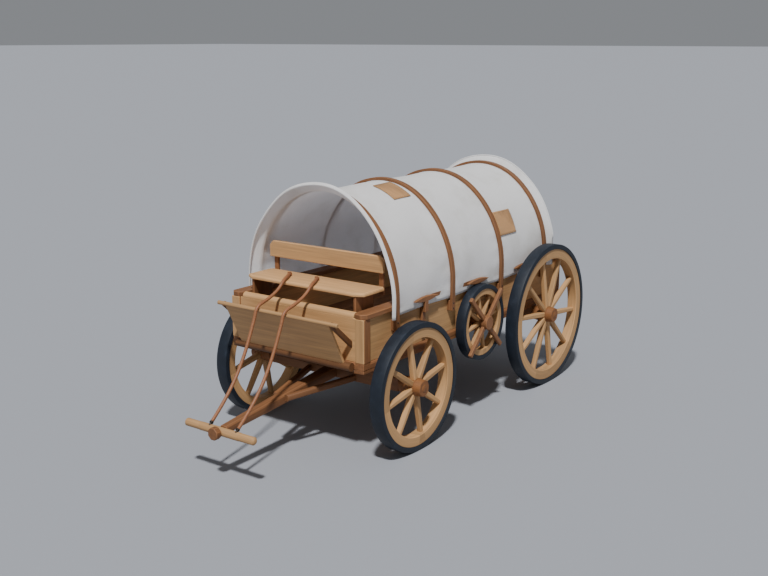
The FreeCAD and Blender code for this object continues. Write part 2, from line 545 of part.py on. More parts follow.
def side_cleats():
    """T-shaped tie-down cleats: a jogged post and a bar with pointed ends.

    Where the spare wheel hangs there is no room for the post, so that bar sits on the cover alone.
    """
    wall, foot_x = BOX_HALF_W, BOX_HALF_W + CLEAT_T
    in_x = CANVAS_OUT_X + SKIN_GAP
    out_x = in_x + CLEAT_T
    foot_z, jog_z, bar_z = SILL_TOP_Z + CLEAT_FOOT_UP, CANVAS_FOOT_Z - CLEAT_JOG_DOWN, CLEAT_BAR_Z
    jog_top = CANVAS_FOOT_Z - CLEAT_JOG_CLEAR
    half, low = CLEAT_BAR_L / 2, CLEAT_BAR_H / 2
    cleats = []
    for y in CLEAT_Y:
        y0 = y - CLEAT_W / 2
        post = extrude([V(wall, y0, foot_z), V(foot_x, y0, foot_z), V(foot_x, y0, jog_z),
                        V(out_x, y0, jog_z), V(out_x, y0, bar_z), V(in_x, y0, bar_z),
                        V(in_x, y0, jog_top), V(wall, y0, jog_top)], V(0, CLEAT_W, 0))
        ends = [V(in_x, y - half, bar_z), V(in_x, y + half, bar_z)]
        arcs = [Part.Arc(ends[0], V(in_x, y, bar_z - low), ends[1]).toShape(),
                Part.Arc(ends[1], V(in_x, y, bar_z + low), ends[0]).toShape()]
        bar = Part.Face(Part.Wire(arcs)).extrude(V(CLEAT_T, 0, 0))
        whole = post.fuse(bar)
        behind_spare = abs(y - MID_Y) < SPARE_R
        cleats += [bar if behind_spare else whole, mirror_x(whole)]
    return {"tie_cleats": compound(cleats)}


# ---- seat and footboard --------------------------------------------------------------------
def seat():
    nodes = {}
    y0, y1 = SEAT_Y0, SEAT_Y1
    w, cx, cy, rear = SEAT_HALF_W, SEAT_CORNER_X, SEAT_CORNER_Y, SEAT_REAR_CORNER
    seat_under = SEAT_TOP_Z - SEAT_T
    outline = [V(-w, y0 + cy, seat_under), V(-w + cx, y0, seat_under), V(w - cx, y0, seat_under),
               V(w, y0 + cy, seat_under), V(w, y1 - rear, seat_under), V(w - rear, y1, seat_under),
               V(-w + rear, y1, seat_under), V(-w, y1 - rear, seat_under)]
    board = extrude(outline, V(0, 0, SEAT_T))
    rim = [e for e in board.Edges if min(v.Z for v in e.Vertexes) > SEAT_TOP_Z - 1]
    nodes["seat_board"] = board.makeChamfer(SEAT_EDGE, rim)
    leg_x, leg_y = SEAT_HALF_W - SEAT_LEG_INSET, SEAT_Y0 + SEAT_LEG_SETBACK
    nodes["seat_legs"] = compound(both_sides(block(leg_x - SEAT_LEG_T, leg_x, leg_y, leg_y + SEAT_LEG_D,
                                                   FLOOR_TOP_Z, seat_under)))
    half, c = SEAT_HALF_W - SEAT_BACK_SHORT, SEAT_BACK_CORNER
    low, high = SEAT_TOP_Z + SEAT_BACK_UP, SEAT_TOP_Z + SEAT_BACK_UP + SEAT_BACK_H
    nodes["seat_back"] = extrude([V(-half, y1, low), V(half, y1, low), V(half, y1, high - c), V(half - c, y1, high),
                                  V(-half + c, y1, high), V(-half, y1, high - c)], V(0, -SEAT_BACK_T, 0))
    stile_x = SEAT_HALF_W - SEAT_STILE_INSET
    nodes["seat_stiles"] = compound(both_sides(block(stile_x - SEAT_STILE_W, stile_x, y1, y1 + SEAT_STILE_T,
                                                     SEAT_TOP_Z - SEAT_STILE_DOWN, high - SEAT_STILE_SHORT)))
    return nodes


def footboard():
    """Sloping board from a beam at the front sill up to a round rail on two struts."""
    nodes = {}
    beam_y, beam_half = BOX_Y0 - SILL_PROUD - FOOTBEAM_R, BOX_HALF_W - FOOTBEAM_SHORT
    rail_half, board_half = BOX_HALF_W - FOOTRAIL_SHORT, BOX_HALF_W - FOOTBOARD_SHORT
    beam = x_cylinder(FOOTBEAM_R, -beam_half, beam_half, beam_y, FOOTBEAM_Z)
    rail = x_cylinder(FOOTRAIL_R, -rail_half, rail_half, FOOTRAIL_Y, FOOTRAIL_Z)
    nodes["footboard_rail"] = rail
    low, high = V(0, beam_y, FOOTBEAM_Z), V(0, FOOTRAIL_Y, FOOTRAIL_Z)
    up = (high - low).normalize()
    out = up.cross(X_AXIS)
    half_t = FOOTBOARD_T / 2
    corners = [low + out * half_t, low - out * half_t, high - out * half_t, high + out * half_t]
    board = extrude([c - X_AXIS * board_half for c in corners], V(2 * board_half, 0, 0))
    nodes["footboard"] = board.cut([beam, rail])
    strut_x = board_half + STRUT_GAP + STRUT_W / 2
    strut = tapered_bar(V(strut_x, BOX_Y0 + STRUT_T / 2, SILL_TOP_Z + STRUT_FOOT_UP - STRUT_T / 2),
                        V(strut_x, FOOTRAIL_Y, FOOTRAIL_Z), X_AXIS, (STRUT_W, STRUT_T), (STRUT_W, STRUT_T), 6)
    ahead = block(0, BOX_HALF_W, FOOTRAIL_Y - 2 * STRUT_T, BOX_Y0, LEDGE_Z, RAIL_TOP_Z)
    nodes["footboard_frame"] = compound([beam] + both_sides(strut.common(ahead).cut(rail)))
    return nodes


# ---- spare wheel -----------------------------------------------------------------------------
def spare_wheel(sills):
    nodes = {}
    mid_x = (SPARE_IN_X + SPARE_OUT_X) / 2
    nodes["spare_tyre"] = ring(SPARE_IN_X, SPARE_OUT_X, SPARE_R - SPARE_TYRE_T, SPARE_R, MID_Y, SPARE_Z)
    felloe_r = SPARE_R - SPARE_TYRE_T - SPARE_FELLOE_T
    felloe = ring(SPARE_IN_X + FELLOE_INSET, SPARE_OUT_X - FELLOE_INSET,
                  felloe_r, SPARE_R - SPARE_TYRE_T, MID_Y, SPARE_Z)
    hub = x_cylinder(SPARE_HUB_R, BOX_HALF_W, SPARE_OUT_X, MID_Y, SPARE_Z)
    spokes = spoke_set(SPARE_SPOKES, mid_x, MID_Y, SPARE_Z, SPARE_HUB_R - 8, felloe_r + SPARE_FELLOE_T / 3,
                       (SPOKE_RIM_W, SPOKE_RIM_D), (SPOKE_RIM_W - 8, SPOKE_RIM_D - 8), SPOKE_CHAMFER)
    nodes["spare_wheel"] = felloe.fuse(spokes).cut(hub)
    nodes["spare_hub"] = hub.cut(sills)

    clamp = x_cylinder(CLAMP_BOSS_R, SPARE_OUT_X, SPARE_OUT_X + CLAMP_BOSS_T, MID_Y, SPARE_Z)
    for i in range(4):
        arm = block(SPARE_OUT_X, SPARE_OUT_X + CLAMP_ARM_T, MID_Y - CLAMP_ARM_W / 2, MID_Y + CLAMP_ARM_W / 2,
                    SPARE_Z, SPARE_Z + SPARE_R + CLAMP_ARM_PAST)
        arm.rotate(V(0, MID_Y, SPARE_Z), X_AXIS, 45 + 90 * i)
        clamp = clamp.fuse(arm)
    nodes["spare_clamp"] = clamp
    return nodes


# ---- reins -------------------------------------------------------------------------------------
# Each rein runs from its knot on the seat over the foot rail, then hangs down to its eye on the
# crossbar. Both pass the same places, side by side: ahead of and above the seat's front edge or
# the rail, and then in shares of the way ahead and down to the eye.
REIN_OVER = [("seat", -168, 20), ("seat", -91, 26), ("seat", 4, 27),
             ("rail", -202, 171), ("rail", -92, 109), ("rail", 3, 60), ("rail", 86, -6)]
REIN_HANG = [(0.081, 0.148), (0.205, 0.326), (0.352, 0.510), (0.517, 0.673), (0.700, 0.807), (0.866, 0.919), (1, 1)]
REIN_X = {
    "rein_right": [-266, -240, -203, -190, -203, -216, -212, -205, -190, -173, -155, -138, -120, -106],
    "rein_left": [32, 58, 95, 98, 85, 72, 78, 86, 98, 112, 128, 144, 160, 172],
}


def rein_route(name):
    """The rein's points from knot to eye."""
    anchors = {"seat": V(0, SEAT_Y0, SEAT_TOP_Z), "rail": V(0, FOOTRAIL_Y, FOOTRAIL_Z)}
    points = [anchors[anchor] + V(0, -ahead, up) for anchor, ahead, up in REIN_OVER]
    top, eye = points[-1], V(0, CROSSBAR_Y - EYE_AHEAD, TONGUE_TIP_Z + EYE_UP)
    points += [V(0, top.y + (eye.y - top.y) * ahead, top.z + (eye.z - top.z) * down) for ahead, down in REIN_HANG]
    for point, x in zip(points, REIN_X[name]):
        point.x = x
    return points


def rope(points, radius):
    """Tube along straight runs joined by tangent arcs, and the smallest arc's radius."""
    edges, start, smallest = [], points[0], None
    for before, here, after in zip(points, points[1:], points[2:]):
        into, out = (here - before), (after - here)
        shorter = min(into.Length, out.Length)
        turn = into.getAngle(out)
        cut = 0.45 * shorter
        bend = cut / math.tan(turn / 2)
        smallest = bend if smallest is None else min(smallest, bend)
        a = here - V(into).normalize() * cut
        b = here + V(out).normalize() * cut
        middle = (V(out).normalize() - V(into).normalize()).normalize()
        apex = here + middle * (bend / math.cos(turn / 2) - bend)
        edges += [Part.makeLine(start, a), Part.Arc(a, apex, b).toShape()]
        start = b
    edges.append(Part.makeLine(start, points[-1]))
    path = Part.Wire(edges)
    section = Part.Wire([Part.makeCircle(radius, points[0], points[1] - points[0])])
    tube = path.makePipeShell([section], True, False)
    return tube, path.Length, smallest


def reins(crossbar):
    nodes, knots, eyes = {}, [], []
    for name in REIN_X:
        points = rein_route(name)
        first = (points[1] - points[0]).normalize()
        knot_at = points[0] - first * (KNOT_R - 2)
        knot = Part.makeCylinder(KNOT_R, KNOT_H, V(knot_at.x, knot_at.y, SEAT_TOP_Z))
        knots.append(knot)
        last = (points[-1] - points[-2]).normalize()
        eye = Part.makeCylinder(EYE_R, EYE_UP, points[-1] + last * SKIN_GAP, last)
        eyes.append(eye.cut(crossbar))
        tube, length, smallest = rope(points, REIN_R)
        nodes[name] = tube.cut(knot)
        print(name, "length", round(length, 1), "smallest bend", round(smallest, 1),
              "volume ratio", round(tube.Volume / (math.pi * REIN_R ** 2 * length), 4))
    nodes["rein_knots"] = compound(knots)
    nodes["rein_eyes"] = compound([largest(eye) for eye in eyes])
    return nodes


def largest(shape):
    return max(shape.Solids, key=lambda s: s.CenterOfMass.z)


# ---- build -----------------------------------------------------------------------------------
def build():
    nodes = {}
    for name, radius, y, spoke_count, felloe_t in (
            ("front", FRONT_WHEEL_R, FRONT_Y, FRONT_SPOKES, FRONT_FELLOE_T),
            ("rear", REAR_WHEEL_R, REAR_Y, REAR_SPOKES, REAR_FELLOE_T)):
        for part, shape in road_wheel(radius, y, spoke_count, felloe_t).items():
            nodes[f"{name}_left_{part}"] = shape
            nodes[f"{name}_right_{part}"] = mirror_x(shape)
    carriage, crossbar = forecarriage()
    nodes.update(carriage)
    nodes.update(undercarriage())
    nodes.update(box_body())
    nodes.update(cover_and_hoops())
    nodes.update(side_cleats())
    nodes.update(seat())
    nodes.update(footboard())
    nodes.update(spare_wheel(nodes["sills"]))
    nodes.update(reins(crossbar))
    return nodes


def main():
    os.makedirs("parts", exist_ok=True)
    for name, shape in build().items():
        if not shape.isValid():
            raise ValueError(f"{name} isn't a valid shape")
        shape.exportStep(f"parts/{name}.step")
        box = shape.BoundBox
        print(f"{name:20s} {len(shape.Solids):2d} solids  x {box.XMin:8.1f} {box.XMax:8.1f}"
              f"  y {box.YMin:8.1f} {box.YMax:8.1f}  z {box.ZMin:8.1f} {box.ZMax:8.1f}")


main()
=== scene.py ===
"""Finish of a covered wagon: timber, canvas, patches, reins, ironwork and stage.

Metres, +Z up, the tongue points to -Y and the wagon's own left side is +X.
"""
import json
import math
import random

import bmesh
import bpy
from bpy.props import FloatProperty, FloatVectorProperty, IntProperty, PointerProperty
from mathutils import Matrix, Vector


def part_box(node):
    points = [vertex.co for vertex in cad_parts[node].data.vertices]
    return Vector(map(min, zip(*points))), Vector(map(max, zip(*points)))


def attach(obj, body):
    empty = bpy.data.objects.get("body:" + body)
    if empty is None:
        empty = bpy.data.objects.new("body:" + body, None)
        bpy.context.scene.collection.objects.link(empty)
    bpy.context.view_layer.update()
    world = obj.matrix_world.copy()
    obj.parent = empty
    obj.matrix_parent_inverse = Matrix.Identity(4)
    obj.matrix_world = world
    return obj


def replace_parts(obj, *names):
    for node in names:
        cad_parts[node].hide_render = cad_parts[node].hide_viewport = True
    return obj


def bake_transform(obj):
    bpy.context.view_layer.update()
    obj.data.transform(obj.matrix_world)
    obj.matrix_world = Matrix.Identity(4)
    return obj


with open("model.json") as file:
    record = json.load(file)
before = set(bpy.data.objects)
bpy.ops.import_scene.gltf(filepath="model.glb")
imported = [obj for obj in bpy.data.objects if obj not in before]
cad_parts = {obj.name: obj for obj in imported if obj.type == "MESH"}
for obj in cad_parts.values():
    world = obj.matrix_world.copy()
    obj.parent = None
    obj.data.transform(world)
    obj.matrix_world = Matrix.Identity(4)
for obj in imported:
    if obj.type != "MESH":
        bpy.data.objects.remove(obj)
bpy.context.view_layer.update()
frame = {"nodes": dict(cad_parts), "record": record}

bl_info = {
    "name": "Covered wagon",
    "version": (1, 0, 0),
    "blender": (4, 5, 0),
    "location": "3D View > Sidebar > Wagon",
    "description": "Timber, canvas, reins and ironwork around the wagon's frame",
    "category": "Object",
}


# ---- places and sizes read from the frame ----
def middle(node):
    """Middle of a CAD node's box."""
    low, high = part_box(node)
    return (low + high) / 2


FRONT_AXLE_Y = middle("front_left_hub").y
COVER_LOW, COVER_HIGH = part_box("cover")
HOOPS_LOW, HOOPS_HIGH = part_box("hoops")
SEAT_LOW, SEAT_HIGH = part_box("seat_board")

HOOP_COUNT, HOOP_W = 4, 0.050
HOOP_FIRST_Y = HOOPS_LOW.y + HOOP_W / 2
HOOP_PITCH = (HOOPS_HIGH.y - HOOPS_LOW.y - HOOP_W) / (HOOP_COUNT - 1)
HOOP_STATIONS = [HOOP_FIRST_Y + HOOP_PITCH * i for i in range(HOOP_COUNT)]
HOOPED = HOOP_STATIONS[0] - HOOP_W / 2, HOOP_STATIONS[-1] + HOOP_W / 2  # without the brims

# The cover's arch: straight sides up to its base, two side arcs and a crown arc that share tangents.
ARCH_BASE_Z, ARCH_HALF_W = 1.278, 0.715
ARCH_RISE, CROWN_R = 0.806, 0.634
CROWN_DROP = ARCH_RISE - CROWN_R
SIDE_R = (ARCH_HALF_W ** 2 + CROWN_DROP ** 2 - CROWN_R ** 2) / (2 * (ARCH_HALF_W - CROWN_R))
SIDE_CENTRE_X = ARCH_HALF_W - SIDE_R
SIDE_TURN = math.atan2(CROWN_DROP, -SIDE_CENTRE_X)
CROWN_ARC = CROWN_R * (math.pi / 2 - SIDE_TURN)
SIDE_ARC = SIDE_R * SIDE_TURN
HALF_GIRTH = CROWN_ARC + SIDE_ARC + ARCH_BASE_Z - COVER_LOW.z

# Each rein runs from its knot on the seat over the foot rail, then hangs down to the crossbar. Both
# pass the same places: ahead of and above the seat's front edge or the rail, and then in shares of
# the way ahead and down to the rein's end. They lie tighter over the seat's edge and the rail than
# the frame's tubes do.
REIN_DIAMETER = 0.028
REIN_OVER = [("seat", -0.168, 0.020), ("seat", -0.078, 0.021), ("seat", 0.018, 0.023),
             ("rail", -0.210, 0.129), ("rail", -0.085, 0.073), ("rail", 0.031, 0.042),
             ("rail", 0.066, -0.052)]
REIN_HANG = [(0.066, 0.105), (0.170, 0.270), (0.305, 0.450), (0.467, 0.622), (0.650, 0.775),
             (0.835, 0.902), (1, 1)]
REIN_X = {
    "rein_right": [-0.266, -0.208, -0.158, -0.154, -0.161, -0.169, -0.166,
                   -0.162, -0.155, -0.147, -0.137, -0.127, -0.116, -0.106],
    "rein_left": [0.032, 0.090, 0.138, 0.138, 0.129, 0.119, 0.122,
                  0.126, 0.132, 0.138, 0.147, 0.155, 0.163, 0.172],
}
REIN_END = middle("crossbar") + Vector((0, 0.017, 0.047))
REIN_SIDES = 12


def rein_route(name):
    """The rein's points from its knot to its end at the crossbar."""
    anchors = {"seat": Vector((0, SEAT_LOW.y, SEAT_HIGH.z)), "rail": middle("footboard_rail")}
    points = [anchors[anchor] + Vector((0, -ahead, up)) for anchor, ahead, up in REIN_OVER]
    top = points[-1]
    points += [Vector((0, top.y + (REIN_END.y - top.y) * ahead, top.z + (REIN_END.z - top.z) * down))
               for ahead, down in REIN_HANG]
    for point, x in zip(points, REIN_X[name]):
        point.x = x
    return points


# ---- colour and node helpers ----
def linear(code):
    """An sRGB hex colour as linear RGBA, by the sRGB curve."""
    channels = [int(code[i:i + 2], 16) / 255 for i in (1, 3, 5)]
    return tuple(c / 12.92 if c <= 0.04045 else ((c + 0.055) / 1.055) ** 2.4 for c in channels) + (1.0,)


def shade(colour, share):
    """A colour made darker or lighter."""
    return tuple(min(1.0, c * share) for c in colour[:3]) + (1.0,)


def feed(node, **inputs):
    """Fill a node's sockets, each from a value, an output, or a node's first output."""
    for name, value in inputs.items():
        socket = node.inputs[int(name[1:]) if name[1:].isdigit() else name.replace("_", " ")]
        if isinstance(value, bpy.types.Node):
            value = value.outputs[0]
        if isinstance(value, bpy.types.NodeSocket):
            node.id_data.links.new(value, socket)
        else:
            socket.default_value = value


def add_node(tree, kind, settings=None, stops=(), **inputs):
    """One shader node with its settings, colour stops and inputs."""
    new = tree.nodes.new(f"ShaderNode{kind}")
    for name, value in (settings or {}).items():
        setattr(new, name, value)
    feed(new, **inputs)
    for i, (place, colour) in enumerate(stops):
        element = new.color_ramp.elements[i] if i < 2 else new.color_ramp.elements.new(place)
        element.position = place
        element.color = colour
    return new


def new_material(name, roughness, metallic=0.0, specular=0.4):
    """A material with its node tree and its Principled shader."""
    made = bpy.data.materials.new(name)
    made.use_nodes = True
    shader = made.node_tree.nodes["Principled BSDF"]
    feed(shader, Roughness=roughness, Metallic=metallic, Specular_IOR_Level=specular)
    return made, made.node_tree, shader


# ---- materials ----
# Sizes of the patterns in metres. Real grain bands are 2 to 6 mm wide and leather pores 0.5 mm: too
# fine to show, so they are drawn several times as coarse.
FIGURE_W, FIGURE_L = 0.034, 0.75  # bands of early and late wood, across and along a board
GRAIN_W, GRAIN_L = 0.009, 0.30  # streaks of pores
FIGURE_SHARE = 0.55  # the bands' part in the tone; the pores make up the rest
BOARD_DARK, BOARD_SPREAD = 0.87, 0.26  # tone of the darkest board, and how much lighter boards get
RUBS_A_METRE = 14.0  # places where an edge is rubbed bare
RUBBED_TONE = 1.9
DENT, SCUFF = 0.022, 0.09  # hammer marks and worn places on iron
SLUB, STAIN = 0.026, 0.45  # thick places in the yarn, weather stains
CREASE = 0.012  # creases across leather
# Yarn is under 1 mm thick, so a weave is drawn far coarser: it repeats every 2 pi times these sizes,
# because a Wave texture of scale 1 turns 20 radians a metre.
DUCK_WEAVE, SACK_WEAVE, THREAD_TWIST = 0.004, 0.006, 0.003
WAVE_TURN = 20
TIMES, TIMES_ADD = {"operation": "MULTIPLY"}, {"operation": "MULTIPLY_ADD"}
MIXED, TINTED = {"data_type": "RGBA"}, {"data_type": "RGBA", "blend_type": "MULTIPLY"}


def planed_timber(name, colour, roughness, contrast, worn=0.0, turned=False):
    """Sawn and planed boards, dried by the weather: long streaks with the grain, each board its own tone.

    Turned pieces carry their streaks along the lathe's axis instead of along a board.
    """
    made, tree, shader = new_material(name, roughness)
    if turned:
        place = add_node(tree, "TexCoord").outputs["Object"]
        tone = 0.5
    else:
        place = add_node(tree, "Attribute", {"attribute_name": "board"}).outputs["Vector"]
        tone = add_node(tree, "Attribute", {"attribute_name": "board_tone"}).outputs["Fac"]
    wide = add_node(tree, "Mapping", _0=place, Scale=(1 / FIGURE_L, 1 / FIGURE_W, 1 / FIGURE_W))
    figure = add_node(tree, "TexNoise", _0=wide, Scale=1.0, Detail=3.0, Roughness=0.55, Distortion=0.7)
    narrow = add_node(tree, "Mapping", _0=place, Scale=(1 / GRAIN_L, 1 / GRAIN_W, 1 / GRAIN_W))
    grain = add_node(tree, "TexNoise", _0=narrow, Scale=1.0, Detail=4.0, Roughness=0.65)
    share = add_node(tree, "Math", TIMES, _0=figure, _1=FIGURE_SHARE)
    streak = add_node(tree, "Math", TIMES_ADD, _0=grain, _1=1 - FIGURE_SHARE, _2=share)
    dark, light = shade(colour, 1 - contrast), shade(colour, 1 + contrast)
    tint = add_node(tree, "ValToRGB", _0=streak, stops=[(0.32, dark), (0.68, light), (0.50, colour)])
    lighter = add_node(tree, "Math", TIMES_ADD, _0=tone, _1=BOARD_SPREAD, _2=BOARD_DARK)
    boards = add_node(tree, "Mix", TINTED, _0=1.0, _6=tint, _7=lighter)
    rubbed = add_node(tree, "TexNoise", _0=place, Scale=RUBS_A_METRE, Detail=3.0)
    bare = add_node(tree, "Math", TIMES, _0=rubbed, _1=worn)
    face = add_node(tree, "Mix", MIXED, _0=bare, _6=boards.outputs[2], _7=shade(colour, RUBBED_TONE))
    rough = add_node(tree, "Math", TIMES_ADD, _0=grain, _1=0.25, _2=roughness - 0.12)
    bump = add_node(tree, "Bump", Strength=0.35, Distance=0.0015, Height=streak)
    feed(shader, Base_Color=face.outputs[2], Roughness=rough, Normal=bump)
    return made


def forged_iron(name, colour, roughness, metallic):
    """Hot-forged wrought iron under paint or oil: shallow hammer dents, rubbed bright in places."""
    made, tree, shader = new_material(name, roughness, metallic)
    place = add_node(tree, "TexCoord").outputs["Object"]
    dents = add_node(tree, "TexNoise", _0=place, Scale=1 / DENT, Detail=2.0)
    scuffs = add_node(tree, "TexNoise", _0=place, Scale=1 / SCUFF, Detail=6.0, Roughness=0.7)
    tint = add_node(tree, "ValToRGB", _0=scuffs,
                    stops=[(0.38, shade(colour, 0.8)), (0.74, shade(colour, 1.7)), (0.56, colour)])
    rough = add_node(tree, "Math", TIMES_ADD, _0=scuffs, _1=0.35, _2=roughness - 0.17)
    bump = add_node(tree, "Bump", Strength=0.3, Distance=0.002, Height=dents)
    feed(shader, Base_Color=tint, Roughness=rough, Normal=bump)
    return made


def woven_cloth(name, colour, weave_size, stain, passes=0.0, seen_through=None):
    """Plain-woven cotton or jute: crossed threads, thick slubs and soft weather stains.

    A thin cloth passes a share of the light, which brightens the inside of the cover.
    """
    made, tree, shader = new_material(name, 0.9, specular=0.15)
    uv = add_node(tree, "UVMap", {"uv_map": "cloth"})
    warp, weft = (add_node(tree, "TexWave", {"bands_direction": way, "wave_profile": "SIN"}, _0=uv,
                           Scale=1 / (weave_size * WAVE_TURN), Distortion=0.6, Detail_Scale=3.0)
                  for way in ("X", "Y"))
    weave = add_node(tree, "Math", {"operation": "ADD"}, _0=warp.outputs["Fac"], _1=weft.outputs["Fac"])
    blotches = add_node(tree, "TexNoise", _0=uv, Scale=1 / STAIN, Detail=5.0, Roughness=0.6)
    slubs = add_node(tree, "TexNoise", _0=uv, Scale=1 / SLUB, Detail=3.0)
    tint = add_node(tree, "ValToRGB", _0=blotches,
                    stops=[(0.30, stain), (0.75, shade(colour, 1.04)), (0.48, colour)])
    fleck = add_node(tree, "Math", TIMES_ADD, _0=slubs, _1=0.10, _2=0.95)
    mixed = add_node(tree, "Mix", TINTED, _0=1.0, _6=tint, _7=fleck)
    fine = add_node(tree, "Bump", Strength=0.25, Distance=0.001, Height=weave)
    soft = add_node(tree, "Bump", Strength=0.3, Distance=0.003, Height=slubs, Normal=fine)
    feed(shader, Sheen_Weight=0.15, Base_Color=mixed.outputs[2], Normal=soft)
    if passes:
        glow = add_node(tree, "BsdfTranslucent", Color=seen_through)
        both = add_node(tree, "MixShader", _0=passes, _1=shader, _2=glow)
        feed(tree.nodes["Material Output"], Surface=both)
    return made


def oiled_leather(name, colour):
    """Round-sewn harness leather: darker creases across the rein, a dull gloss from handling."""
    made, tree, shader = new_material(name, 0.5)
    place = add_node(tree, "TexCoord").outputs["Object"]
    creases = add_node(tree, "TexNoise", _0=place, Scale=1 / CREASE, Detail=5.0, Roughness=0.7)
    tint = add_node(tree, "ValToRGB", _0=creases,
                    stops=[(0.35, shade(colour, 0.7)), (0.75, shade(colour, 1.3)), (0.55, colour)])
    bump = add_node(tree, "Bump", Strength=0.3, Distance=0.001, Height=creases)
    feed(shader, Base_Color=tint, Normal=bump)
    return made


def all_materials(colours):
    """Every finish of the wagon, by the name that its pieces wear it under."""
    pale, brown, dark = tuple(colours.pale_timber), tuple(colours.brown_timber), tuple(colours.dark_timber)
    return {
        "pale_timber": planed_timber("pale planed pine", pale, 0.62, 0.22),
        # The edge materials are lighter than their boards: partly rubbed wear, partly a painted highlight
        # along each chamfer.
        "pale_edge": planed_timber("pale pine, worn edge with painted highlight", shade(pale, 1.12), 0.7, 0.18, worn=0.25),
        "brown_timber": planed_timber("brown oiled oak", brown, 0.58, 0.28),
        "brown_edge": planed_timber("brown oak, worn edge with painted highlight", shade(brown, 1.2), 0.66, 0.22, worn=0.2),
        # The dark timber is the brown oak darkened as painted shade: it stands for the shade that the
        # footboard casts on its beam and struts.
        "dark_timber": planed_timber("brown oak with painted shade", dark, 0.62, 0.28),
        "dark_edge": planed_timber("dark oak, worn edge", shade(dark, 1.2), 0.66, 0.22, worn=0.15),
        "hub_timber": planed_timber("turned elm", tuple(colours.hub_timber), 0.6, 0.25, turned=True),
        "tyre": forged_iron("painted tyre iron", tuple(colours.tyre), 0.55, 0.0),
        "iron": forged_iron("black forged iron", linear("#3A3633"), 0.5, 0.7),
        # The light the canvas passes is tinted cool, a painted stand-in for sky light inside the cover.
        "canvas": woven_cloth("cotton duck canvas", tuple(colours.canvas), DUCK_WEAVE, linear("#E9E6DF"),
                              passes=0.38, seen_through=linear("#F3F5FB")),
        "patch": woven_cloth("tan sacking", tuple(colours.patch), SACK_WEAVE, linear("#8F6B47")),
        "thread": woven_cloth("waxed thread", linear("#5E4630"), THREAD_TWIST, linear("#4A3524")),
        "leather": oiled_leather("harness leather", tuple(colours.leather)),
    }


MATERIALS = {}


# ---- mesh helpers ----
PATTERN_SHIFT = 9  # furthest that a board's grain is drawn from its neighbour's
CAD_WELD, CAD_FLAT = 2e-5, math.radians(0.8)  # a CAD mesh's points that are one, faces that are one
POLE_WELD = 1e-6


def new_object(name, data):
    """An object in the scene for a mesh, curve, light or camera."""
    made = bpy.data.objects.new(name, data)
    bpy.context.scene.collection.objects.link(made)
    return made


def finished(name, mesh, materials, body=None, thickness=0.0):
    """Turn a bmesh into a piece that wears the named materials; an open sheet is given its thickness."""
    data = bpy.data.meshes.new(name)
    mesh.to_mesh(data)
    mesh.free()
    made = new_object(name, data)
    for material in materials:
        data.materials.append(MATERIALS[material])
    if thickness:
        wall = made.modifiers.new("Solidify", "SOLIDIFY")
        wall.thickness = thickness
        wall.offset = 0.0
    if body:
        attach(made, body)
    return made


def cloth_mesh():
    """A new bmesh with the UV layer that cloth and thread follow."""
    mesh = bmesh.new()
    mesh.loops.layers.uv.new("cloth")
    return mesh


def islands(mesh):
    """Faces of a bmesh grouped by the board they belong to."""
    left, groups = set(mesh.faces), []
    while left:
        start = left.pop()
        group, ahead = [start], [start]
        while ahead:
            for edge in ahead.pop().edges:
                found = [face for face in edge.link_faces if face in left]
                left.difference_update(found)
                group += found
                ahead += found
        groups.append(group)

    def lowest_corner(group):
        return [round(c, 3) for c in min(tuple(v.co) for f in group for v in f.verts)]
    return sorted(groups, key=lowest_corner)


def along_board(faces, tone):
    """Places in a board's grain, which follows its longest edge, and its one tone."""
    edges = {e for f in faces for e in f.edges}
    edge = max(edges, key=lambda e: (round(e.calc_length(), 4), e.index))
    run = (edge.verts[1].co - edge.verts[0].co).normalized()
    if run.y + run.z * 0.5 + run.x * 0.25 < 0:
        run = -run
    side = run.cross(Vector((0, 0, 1)) if abs(run.z) < 0.9 else Vector((0, 1, 0))).normalized()
    third = run.cross(side)
    return lambda co, _face: (Vector((co.dot(run), co.dot(side), co.dot(third))), tone)


def lay_grain(mesh, seed, place=None):
    """Give every corner its place on its own board: along the grain, then twice across it."""
    board = mesh.loops.layers.float_vector.new("board")
    tone = mesh.loops.layers.float.new("board_tone")
    draw = random.Random(seed)
    for group in islands(mesh):
        shift = Vector([draw.uniform(0, PATTERN_SHIFT) for _axis in range(3)])
        board_tone = draw.random()
        in_grain = place or along_board(group, board_tone)
        for face in group:
            for loop in face.loops:
                spot, loop[tone] = in_grain(loop.vert.co, face)
                loop[board] = spot + shift


def ease_edges(mesh, width, sharp=35.0):
    """Plane a small chamfer on every outside corner; its faces wear the second material, a lighter wood
    that is partly wear and partly painted highlight.
    """
    edges = [e for e in mesh.edges
             if e.is_manifold and e.is_convex and e.calc_face_angle() > math.radians(sharp)]
    chamfers = bmesh.ops.bevel(mesh, geom=edges, offset=width, offset_type="OFFSET", segments=1,
                               profile=0.5, affect="EDGES", clamp_overlap=True, material=-1)["faces"]
    for face in chamfers:
        face.material_index = 1


def spin_round(mesh, outline, centre, axis, steps):
    """Turn an outline of points once about an axis into a closed skin."""
    line = [mesh.verts.new(point) for point in outline]
    edges = [mesh.edges.new(pair) for pair in zip(line, line[1:])]
    bmesh.ops.spin(mesh, geom=line + edges, cent=centre, axis=axis, angle=2 * math.pi, steps=steps,
                   use_merge=True)
    bmesh.ops.remove_doubles(mesh, verts=mesh.verts, dist=POLE_WELD)
    bmesh.ops.recalc_face_normals(mesh, faces=mesh.faces)


def cad_copy(node):
    """A welded copy of a CAD node with its flat faces whole."""
    mesh = bmesh.new()
    mesh.from_mesh(frame["nodes"][node].data)
    bmesh.ops.remove_doubles(mesh, verts=mesh.verts, dist=CAD_WELD)
    bmesh.ops.dissolve_limit(mesh, angle_limit=CAD_FLAT, use_dissolve_boundaries=False,
                             verts=mesh.verts, edges=mesh.edges)
    return mesh


def stand_in(node, name, mesh, materials):
    """A finished piece in a CAD node's place, on its body."""
    record = frame["record"]
    body = next(body for body, nodes in record["behaviour"]["bodies"].items() if node in nodes)
    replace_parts(finished(name, mesh, materials, body), node)


